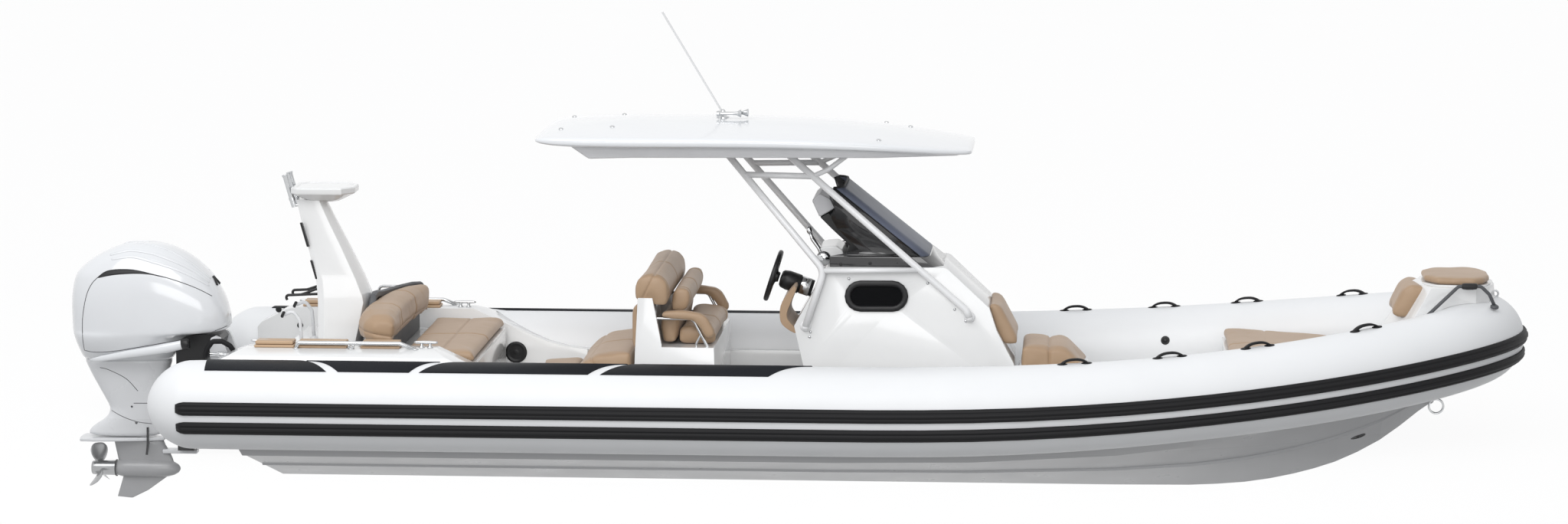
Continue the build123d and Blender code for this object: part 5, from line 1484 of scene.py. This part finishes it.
add_piece("roof_leg_pipes", legs, "white_metal", stands_for=["roof_legs_port",
    "roof_legs_starboard"])
print("legs")
# %% [markdown]
# The hard top. A moulded fibreglass shell: a thick rolled rim, a low crown and a nose that thins
# towards the front. It could be a plane with thickness, but the rim needs its own section, so each
# station is a closed loop with a rounded rim, the loops are bridged, and one subdivision makes
# them smooth.

# %% Roof shell
ROOF_ROWS = (  # x, half width, rim bottom, rim top, shoulder, crown
    (1.853, 0.65, 2.146, 2.16, 2.166, 2.17), (1.866, 0.698, 2.138, 2.166, 2.176, 2.18), (1.95, 0.78, 2.122,
        2.182, 2.206, 2.218),
    (2.25, 0.82, 2.112, 2.184, 2.224, 2.246), (2.88, 0.82, 2.116, 2.187, 2.233, 2.261), (3.62, 0.82, 2.118,
        2.187, 2.228, 2.255),
    (4.29, 0.765, 2.096, 2.155, 2.189, 2.206), (4.7, 0.64, 2.064, 2.108, 2.136, 2.146), (4.9, 0.52, 2.048,
        2.086, 2.104, 2.11),
    (4.955, 0.47, 2.046, 2.08, 2.092, 2.096), (4.972, 0.43, 2.054, 2.07, 2.078, 2.08),
)


def roof_loop(shape, row):
    x, half, rim, edge, shoulder, crown = row
    side = [(0.5 * half, rim), (half - 0.055, rim), (half - 0.014, rim + 0.003),
        (half, rim + 0.3 * (edge - rim)),
            (half, edge - 0.25 * (edge - rim)), (half - 0.012, edge), (half - 0.05,
                edge + 0.12 * (shoulder - edge)),
            (0.76 * half, edge + 0.6 * (shoulder - edge)), (0.52 * half, shoulder), (0.26 * half,
                shoulder + 0.8 * (crown - shoulder))]
    points = [(0, rim)] + side + [(0, crown)] + [(-y, z) for y, z in reversed(side)]
    return loop_at(shape, [(x, y, z) for y, z in points])


roof_shape = bmesh.new()
skin(roof_shape, [roof_loop(roof_shape, row) for row in ROOF_ROWS])
roof_piece = add_piece("hard_top", roof_shape, "roof_gelcoat", stands_for=["roof"])
roof_smooth = roof_piece.modifiers.new("smooth", "SUBSURF")
roof_smooth.levels = roof_smooth.render_levels = 2
rounded("roof_liner", "liner_paint", "boat", 0.025)
print("roof", len(roof_piece.data.polygons), "faces")

# %% [markdown]
# Fittings on the roof. Deck lights and the feet of aerials are small turned parts, so each is a
# lathe profile set where a ray from above meets the roof. The horn is two short trumpets.

# %% Roof fittings
roof_tree = surface_of(roof_piece)
fittings = bmesh.new()
for x, y in ((2.02, -0.42), (2.39, -0.42), (4.31, -0.6), (4.5, 0.3), (2.02, 0.42), (2.39, 0.42), (4.31, 0.6)):
    place, normal, _, _ = roof_tree.ray_cast(Vector((x, y, 3.0)), Vector((0, 0, -1)))
    lathe(fittings, [(0.0005, -0.004), (0.018, -0.004), (0.018, 0.003), (0.013, 0.009), (0.0005, 0.012)],
        place, normal, 20)
place, normal, _, _ = roof_tree.ray_cast(Vector((3.15, 0.0, 3.0)), Vector((0, 0, -1)))
lathe(fittings, [(0.0005, -0.006), (0.046, -0.006), (0.046, 0.006), (0.03, 0.014), (0.021, 0.03),
    (0.019, 0.05), (0.012, 0.058), (0.0005, 0.06)],
      place, (0, 0, 1), 28)
for y, reach in ((-0.055, 0.2), (-0.095, 0.15)):
    lathe(fittings, [(0.0005, -0.03), (0.016, -0.028), (0.018, -0.01), (0.01, 0.0), (0.009, 0.5 * reach),
        (0.014, 0.8 * reach), (0.03, reach),
                     (0.027, reach), (0.01, 0.8 * reach), (0.0005, 0.78 * reach)], (3.14, y, 2.292),
                         (1, 0, 0.02), 24)
    bent_pipe(fittings, [(3.135, y, 2.245), (3.135, y, 2.292)], 0.008, 0.01, 10)
add_piece("roof_lamps_and_horn", fittings, "polished_steel", stands_for=["roof_fittings"],
    edge=0.001)
print("fittings on the roof")

# %% [markdown]
# The mast. A hollow moulding that tapers upwards and carries a small platform. Its front is a
# separate face that bows forward, and it turns to shade because it looks at the bow. Eight rings
# of six points give that form; a live bevel rounds the long edges.

# %% Mast and its platform
MAST_ROWS = (  # height, aft x, fore x, half width
    (0.56, 0.198, 0.475, 0.23), (0.72, 0.199, 0.512, 0.222), (0.9, 0.198, 0.548, 0.208), (0.95, 0.196, 0.538,
        0.204),
    (1.066, 0.184, 0.492, 0.186), (1.21, 0.146, 0.424, 0.166), (1.31, 0.122, 0.376, 0.152), (1.48, 0.075,
        0.29, 0.128), (1.64, 0.036, 0.215, 0.11),
)
mast_shape = bmesh.new()
skin(mast_shape, [
    loop_at(mast_shape, ((aft, -half * 0.86, z), (aft + 0.05, -half, z), (fore - 0.012, -half * 0.95, z),
        (fore + 0.014, -half * 0.5, z),
                         (fore + 0.022, 0, z), (fore + 0.014, half * 0.5, z), (fore - 0.012, half * 0.95, z),
                             (aft + 0.05, half, z),
                         (aft, half * 0.86, z)))
    for z, aft, fore, half in MAST_ROWS])
PLATFORM_PLAN = ((0.022, -0.15), (0.07, -0.205), (0.4, -0.205), (0.482, -0.09), (0.482, 0.09), (0.4, 0.205),
    (0.07, 0.205), (0.022, 0.15))
skin(mast_shape, [
    loop_at(mast_shape, [(0.235 + (x - 0.25) * share, y * share, z) for x, y in PLATFORM_PLAN])
    for z, share in ((1.628, 0.45), (1.644, 0.6), (1.69, 0.985), (1.696, 1.0), (1.73, 1.0), (1.738, 0.97),
        (1.738, 0.86), (1.732, 0.84))])
add_piece("radar_mast", mast_shape, "gelcoat", stands_for=["mast"], edge=0.012, segments=3)
holders = bmesh.new()
for side in (-1, 1):
    lathe(holders, [(0.0005, 0.0), (0.019, 0.0), (0.02, 0.03), (0.02, 0.225), (0.026, 0.243), (0.024, 0.246),
        (0.017, 0.236), (0.016, 0.06), (0.0005, 0.055)],
          (0.02, side * 0.09, 1.585), (-0.28, 0, 1), 28)
    lathe(holders, [(0.0195, 0.0), (0.0235, 0.0), (0.0235, 0.022), (0.0195, 0.022)], (0.006, side * 0.09,
        1.635), (-0.28, 0, 1), 28)
    bent_pipe(holders, [(0.01, side * 0.09, 1.6), (0.05, side * 0.09, 1.6)], 0.011, 0.01, 12)
add_piece("rod_holder_tubes", holders, "polished_steel", stands_for=["rod_holders"], edge=0.0008)
print("mast")

# %% [markdown]
# Small fittings round the mast: rubber strips on its aft edges, a black grab rail, a bent post
# with a cap, and round lights. Strips are thin plates, rails and posts are bent pipes.

# %% Mast fittings
black_bits = bmesh.new()
for side in (-1, 1):
    for (x0, z0), (x1, z1) in (((0.071, 1.478), (0.12, 1.303)), ((0.142, 1.203), (0.18, 1.066))):
        y = side * 0.13
        plate(black_bits, ((x0, y, z0), (x0 + 0.016, y, z0), (x1 + 0.016, y, z1), (x1, y, z1)),
            (0, side * 0.035, 0))
    bent_pipe(black_bits, [(0.205, side * 0.13, 0.953), (-0.053, side * 0.13, 0.94), (-0.035, side * 0.13,
        0.905)], 0.01, 0.018, 14)
    bent_pipe(black_bits, [(0.06, side * 0.13, 0.945), (0.124, side * 0.13, 0.966), (0.205, side * 0.13,
        0.997)], 0.009, 0.02, 12)
    lathe(black_bits, [(0.0005, 0.0), (0.024, 0.0), (0.026, 0.01), (0.022, 0.02), (0.0005, 0.022)],
        (-0.038, side * 0.25, 0.812), (-0.9, 0, 0.4), 20)
for x, z in ((-0.292, 0.7), (-0.13, 0.577), (0.0, 0.523), (0.069, 0.703)):
    lathe(black_bits, [(0.0005, -0.01), (0.022, -0.01), (0.024, 0.0), (0.018, 0.004), (0.0005, 0.004)],
        (x, 0.8985, z * 0.97), (0, -1, 0), 22)
add_piece("mast_strips_and_rail", black_bits, "black_plastic", edge=0.002)
post = bmesh.new()
bent_pipe(post, [(-0.036, -0.25, 0.815), (0.03, -0.25, 0.842), (0.078, -0.25, 0.77), (0.092, -0.25, 0.56)],
    0.013, 0.035, 16)
lathe(post, [(0.0005, 0.0), (0.034, 0.0), (0.034, 0.006), (0.018, 0.014), (0.0135, 0.024), (0.0005, 0.026)],
    (0.092, -0.25, 0.56), (0, 0, 1), 24)
both_sides(post)
add_piece("aft_posts", post, "engine_metal")
print("mast fittings")

# %% [markdown]
# Moulded seats and coamings. Gelcoat mouldings have no sharp edges, because the mould could not be
# released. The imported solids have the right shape, so copies of them get a live bevel.

# %% Rounded mouldings
for node, width in (("coaming_port", 0.024), ("coaming_starboard", 0.024), ("stern_moulding", 0.02),
    ("bench_base", 0.012),
                    ("helm_base", 0.014), ("front_seat_base", 0.012), ("bow_locker", 0.016),
                        ("bow_pod", 0.024)):
    rounded(node, "gelcoat", "boat", width)
print("mouldings rounded")

# %% [markdown]
# Coaming trim. Teak pads lie on the side decks with a stainless rail over them and a cleat at each
# end. The pads are cut from plank and have rounded edges; the rail is bent pipe on short posts.

# %% Teak pads, side rails and cleats
teak = bmesh.new()
for x0, x1 in ((-0.11, 0.178), (0.194, 0.556), (0.652, 0.935)):
    for inset, low, high in ((0.0, 0.7003, 0.72), (0.008, 0.722, 0.748)):
        plate(teak, ((x0 + inset, -1.062 + inset, low), (x1 - inset, -1.062 + inset, low), (x1 - inset,
            -0.915 - inset, low), (x0 + inset, -0.915 - inset, low)),
              (0, 0, high - low))
both_sides(teak)
add_piece("teak_step_pads", teak, "teak_planks", stands_for=["coaming_pads"], edge=0.009,
    segments=3)
rails = bmesh.new()
bent_pipe(rails, [(0.196, -1.075, 0.7), (0.206, -1.075, 0.741), (0.94, -1.075, 0.741), (1.05, -1.075, 0.7)],
    0.0145, 0.025, 16)
for x in (0.575, 0.605):
    bent_pipe(rails, [(x, -1.075, 0.7), (x, -1.075, 0.74)], 0.009, 0.01, 12)
for x in (0.196, 0.59, 1.05):
    lathe(rails, [(0.0005, 0.0), (0.024, 0.0), (0.024, 0.004), (0.014, 0.01), (0.0005, 0.01)],
        (x, -1.075, 0.698), (0, 0, 1), 22)
both_sides(rails)
bent_pipe(rails, [(0.47, 0.93, 0.7), (0.47, 0.93, 0.86), (0.665, 0.93, 0.86), (0.665, 0.93, 0.7)], 0.011,
    0.03, 14)
add_piece("side_rails", rails, "polished_steel", stands_for=["stern_rails"])
cleat_shape = bmesh.new()
for x in (1.112, -0.06):
    for step in (-0.03, 0.03):
        lathe(cleat_shape, [(0.0005, 0.0), (0.022, 0.0), (0.021, 0.006), (0.011, 0.012), (0.01, 0.034),
            (0.0005, 0.036)], (x + step, -0.985, 0.7), (0, 0, 1), 20)
    lathe(cleat_shape, [(0.0005, -0.086), (0.006, -0.084), (0.0095, -0.07), (0.012, -0.03), (0.012, 0.03),
        (0.0095, 0.07), (0.006, 0.084), (0.0005, 0.086)],
          (x, -0.985, 0.738), (1, 0, 0), 20)
both_sides(cleat_shape)
add_piece("mooring_cleats", cleat_shape, "polished_steel", stands_for=["cleats"])
print("coaming trim")

# %% [markdown]
# Grip strips. Dark foam is glued along the tops of the tubes, with a narrow white gap between two
# strips that sweeps across in a curve. Each strip is bridged from rows that follow the round of the
# tube, and every row starts and ends a little further on.

# %% Grip strips
TREAD_IN, TREAD_OUT = 97.6, 59.0
TREAD_ENDS = (  # start inboard, start outboard, end inboard, end outboard
    (-0.41, -0.39, 0.223, 0.476), (0.299, 0.556, 1.254, 1.06), (1.392, 1.129, 2.58, 2.32), (2.69, 2.405, 3.88,
        3.585),
)
treads = bmesh.new()
for start_in, start_out, end_in, end_out in TREAD_ENDS:
    loops = []
    for step in range(15):
        share = min(1.0, max(0.0, (step - 1) / 12))
        angle = radians(TREAD_IN + (TREAD_OUT - TREAD_IN) * share)
        swept = share ** 0.7
        start, end = start_in + (start_out - start_in) * swept, end_in + (end_out - end_in) * swept
        stand = 0.0003 if step in (0, 14) else 0.0052
        rows = [(start + 0.004, -0.004), (end - 0.004, -0.004), (end, 0.0003), (end - 0.004, stand),
            (start + 0.004, stand), (start, 0.0003)]
        loops.append(loop_at(treads, [
            (x, TUBE_BREADTH + (TUBE_RADIUS + r) * cos(angle),
                TUBE_HEIGHT + (TUBE_RADIUS + r) * sin(angle)) for x, r in rows]))
    skin(treads, loops)
both_sides(treads)
add_piece("grip_strips", treads, "tread_rubber", stands_for=["tread_strips"])
print("grip strips", len(TREAD_ENDS), "a side")

# %% [markdown]
# The bench's shell and the speakers. A thin curved panel stands behind the back cushion and shows
# only as a dark rim. The speakers are turned discs with ribs, let into the coamings.

# %% Bench shell and speakers
SHELL_RIM = (  # y, aft x, top height
    (-0.205, 0.572, 0.8), (-0.19, 0.572, 0.905), (-0.15, 0.572, 0.958), (-0.08, 0.574, 0.974), (0.0, 0.576,
        0.968), (0.12, 0.58, 0.95),
    (0.3, 0.612, 0.94), (0.5, 0.668, 0.938), (0.66, 0.73, 0.936), (0.76, 0.776, 0.925), (0.788, 0.792, 0.89),
)
shell = bmesh.new()
skin(shell, [
    loop_at(shell, ((x, y, 0.702), (x, y, top - 0.03), (x + 0.012, y, top - 0.006), (x + 0.035, y, top),
        (x + 0.052, y, top - 0.01), (x + 0.052, y, top - 0.045),
                    (x + 0.03, y, top - 0.07), (x + 0.026, y, 0.702)))
    for y, x, top in SHELL_RIM])
loops = []
for step in range(13):
    y = -0.79 + 1.58 * step / 12
    aft = 0.76 - 0.225 * (1 - (y / 0.79) ** 2)
    loops.append(loop_at(shell, ((aft, y, 0.562), (aft, y, 0.702), (0.798, y, 0.702), (0.798, y, 0.562))))
skin(shell, loops)
add_piece("bench_curved_shell", shell, "grey_vinyl", stands_for=["bench_shell"], edge=0.008)
speakers = bmesh.new()
for side in (-1, 1):
    lathe(speakers, [(0.0005, 0.006), (0.016, 0.008), (0.022, 0.004), (0.03, 0.007), (0.038, 0.004),
        (0.047, 0.007), (0.056, 0.004), (0.064, 0.012), (0.078, 0.01),
                     (0.082, 0.002), (0.08, -0.006), (0.0005, -0.006)], (1.511, side * 0.8985, 0.372),
                         (0, -side, 0), 36)
add_piece("speakers", speakers, "black_plastic")
print("shell and speakers")
# %% [markdown]
# Bow rails. A bent bar in grey vinyl sleeving stands over the tube each side of the pod, and a clamp
# holds it at the top. The bar follows a few corners, so it is extruded and spun round its bends.

# %% Bow rails and clamps
bow_bars = bmesh.new()
bent_pipe(bow_bars, [(8.196, -0.52, 0.925), (8.43, -0.4, 1.128), (8.59, -0.388, 1.128), (8.65, -0.38, 1.07),
    (8.69, -0.372, 0.985)], 0.0125, 0.045, 16)
for foot, axis in (((8.196, -0.52, 0.925), (0.2, -0.3, 1)), ((8.69, -0.372, 0.985), (0.1, -0.3, 1))):
    lathe(bow_bars, [(0.0005, -0.012), (0.03, -0.012), (0.03, 0.0), (0.017, 0.01), (0.0005, 0.012)], foot,
        axis, 22)
both_sides(bow_bars)
bent_pipe(bow_bars, [(7.8, 0.545, 0.7), (7.93, 0.585, 0.845), (8.06, 0.64, 0.925)], 0.009, 0.08, 12)
add_piece("bow_grab_rails", bow_bars, "grey_vinyl", stands_for=["bow_rails"])
clamps = bmesh.new()
lathe(clamps, [(0.0135, -0.055), (0.021, -0.05), (0.023, -0.03), (0.023, 0.03), (0.021, 0.05),
    (0.0135, 0.055)], (8.508, -0.394, 1.128), (1, 0.05, 0), 20)
plate(clamps, ((8.48, -0.412, 1.106), (8.536, -0.412, 1.106), (8.536, -0.372, 1.106), (8.48, -0.372, 1.106)),
    (0, 0, 0.016))
both_sides(clamps)
add_piece("bow_rail_clamps", clamps, "black_plastic", edge=0.003)
print("bow rails")

# %% [markdown]
# Carrying handles. A moulded rubber arch stands on two oval feet that are glued to the tube. The
# arch is a flat section bridged along a low curve, and the feet are flattened domes. Each handle is
# made once in its own frame and placed by a matrix, so that all eight are the same.

# %% Handles
def handle_frame(x):
    share = min(1.0, max(0.0, (x - BOW_START) / (BOW_TIP - BOW_START)))
    heading = atan2(TUBE_BREADTH * share, (BOW_TIP - BOW_START) * (1 - share ** 2) ** 0.5)
    y = TUBE_BREADTH * (1 - share ** 2) ** 0.5
    place, turn = collar_frame(x, y, heading)
    return Matrix.Translation(place) @ turn.to_4x4() @ Matrix.Translation((0, collar_radius(x), 0))


grips = bmesh.new()
for x in (5.73, 6.4, 7.02, 7.79):
    one = bmesh.new()
    loops = []
    for step in range(17):
        t = -1 + step / 8
        z = 0.092 * t
        rise = 0.029 * (1 - abs(t) ** 2.6) + 0.002
        lean = 0.35 * t * abs(t)
        half = 0.019 + 0.005 * abs(t) ** 3
        up, along = 0.0075 * cos(lean), 0.0075 * sin(lean)
        loops.append(loop_at(one, (
            (-half, rise - up, z - along), (-half, rise + 0.5 * up, z + 0.5 * along), (-half * 0.7, rise + up,
                z + along), (half * 0.7, rise + up, z + along),
            (half, rise + 0.5 * up, z + 0.5 * along), (half, rise - up, z - along))))
    skin(one, loops)
    for end in (-0.086, 0.086):
        made = bmesh.ops.create_uvsphere(one, u_segments=24, v_segments=12, radius=1)["verts"]
        bmesh.ops.scale(one, verts=made, vec=(0.034, 0.009, 0.038))
        bmesh.ops.translate(one, verts=made, vec=(0, 0.0, end))
    bmesh.ops.transform(one, verts=one.verts, matrix=handle_frame(x))
    mesh = bpy.data.meshes.new("one")
    one.to_mesh(mesh)
    one.free()
    grips.from_mesh(mesh)
    bpy.data.meshes.remove(mesh)
both_sides(grips)
add_piece("carry_handles", grips, "black_rubber", stands_for=["tube_handles"])
print("handles")

# %% [markdown]
# Small fittings at the bow: the towing eye under the stem and its lock ring, the fill valves on the
# inner faces of the tubes and a dark outlet in the hull's side.

# %% Bow fittings
tube_tree = surface_of(tube)
valves = bmesh.new()
for x, y, z in ((6.38, 0.95, 0.515), (3.9, 0.95, 0.42)):
    place, normal, _, _ = tube_tree.ray_cast(Vector((x, 0.3, z)), Vector((0, 1, 0)))
    if place is not None:
        lathe(valves, [(0.0005, -0.004), (0.032, -0.004), (0.033, 0.003), (0.026, 0.006), (0.022, 0.004),
            (0.02, 0.009), (0.0005, 0.01)], place, normal, 26)
both_sides(valves)
hull_tree = surface_of(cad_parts["hull"])
place, normal = seen_on(hull_tree, 7.733, 0.054, -0.5)
if place is not None:
    turn = facing(normal)
    loops = []
    for share, height in ((1.0, -0.004), (1.0, 0.003), (0.8, 0.004), (0.72, 0.001), (0.1, 0.001)):
        loops.append(loop_at(valves,
            [place + turn @ Vector((0.052 * share * cos(a) - 0.012 * sin(a) * share,
            0.018 * share * sin(a) + 0.022 * cos(a) * share,
            height)) for a in (radians(15 * k) for k in range(24))]))
    skin(valves, loops)
add_piece("valves_and_outlet", valves, "black_plastic")
tow = bmesh.new()
low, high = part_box("bow_eye")
centre = (low + high) / 2
print("bow eye", [round(v, 3) for v in (*low, *high)])
ring = [(centre.x + 0.052 * cos(radians(15 * k)) + 0.008, 0,
    centre.z + 0.052 * sin(radians(15 * k)) - 0.008) for k in range(24)]
loops = []
for index, point in enumerate(ring):
    ahead = Vector(ring[(index + 1) % 24]) - Vector(ring[index - 1])
    loops.append(ring_at(tow, point, facing(ahead, (0, 1, 0)), (0.0085, 0.0085), 14))
loops.append(loops[0])
skin(tow, loops, caps=False)
lathe(tow, [(0.0005, -0.03), (0.014, -0.03), (0.014, 0.0), (0.03, 0.008), (0.03, 0.014), (0.0005, 0.014)],
    (centre.x - 0.04, 0, centre.z + 0.04), (-0.7, 0, 0.7), 22)
add_piece("towing_eye", tow, "polished_steel", stands_for=["bow_eye"])
print("bow fittings")
# %% [markdown]
# Engine hoses and lines. A fuel hose and a steering ram ride on the swivel bracket, and a water
# pickup rod rides on the engine. All are short bent pipes. The hose's forward end is free: it stops
# 50 mm short of the stern moulding, and cuts into the moulding from 20 to 35 degrees of tilt.

# %% Hose, ram and rods
hose = bmesh.new()
bent_pipe(hose, [(-0.62, -0.11, 0.5), (-0.62, -0.285, 0.5), (-0.6, -0.303, 0.565), (-0.56, -0.303, 0.62),
    (-0.49, -0.303, 0.622), (-0.43, -0.3, 0.59),
                 (-0.375, -0.3, 0.5)], 0.019, 0.03, 16)
add_piece("fuel_hose", hose, "black_rubber", body="swivel")
rod = bmesh.new()
bent_pipe(rod, [(-1.097, -0.085, -0.06), (-1.097, -0.095, -0.19), (-1.106, -0.095, -0.262)], 0.009, 0.02, 12)
add_piece("water_pickup_rod", rod, "black_rubber", body="engine")
ram = bmesh.new()
bent_pipe(ram, [(-0.6, -0.2, 0.508), (-0.43, -0.2, 0.508)], 0.016, 0.01, 18)
bent_pipe(ram, [(-0.6, -0.2, 0.508), (-0.6, -0.12, 0.508)], 0.012, 0.01, 14)
lathe(ram, [(0.0005, -0.02), (0.022, -0.02), (0.024, 0.0), (0.022, 0.02), (0.0005, 0.02)], (-0.52, -0.2,
    0.508), (1, 0, 0), 22)
add_piece("steering_ram", ram, "polished_steel", body="swivel", edge=0.001)
print("engine lines")
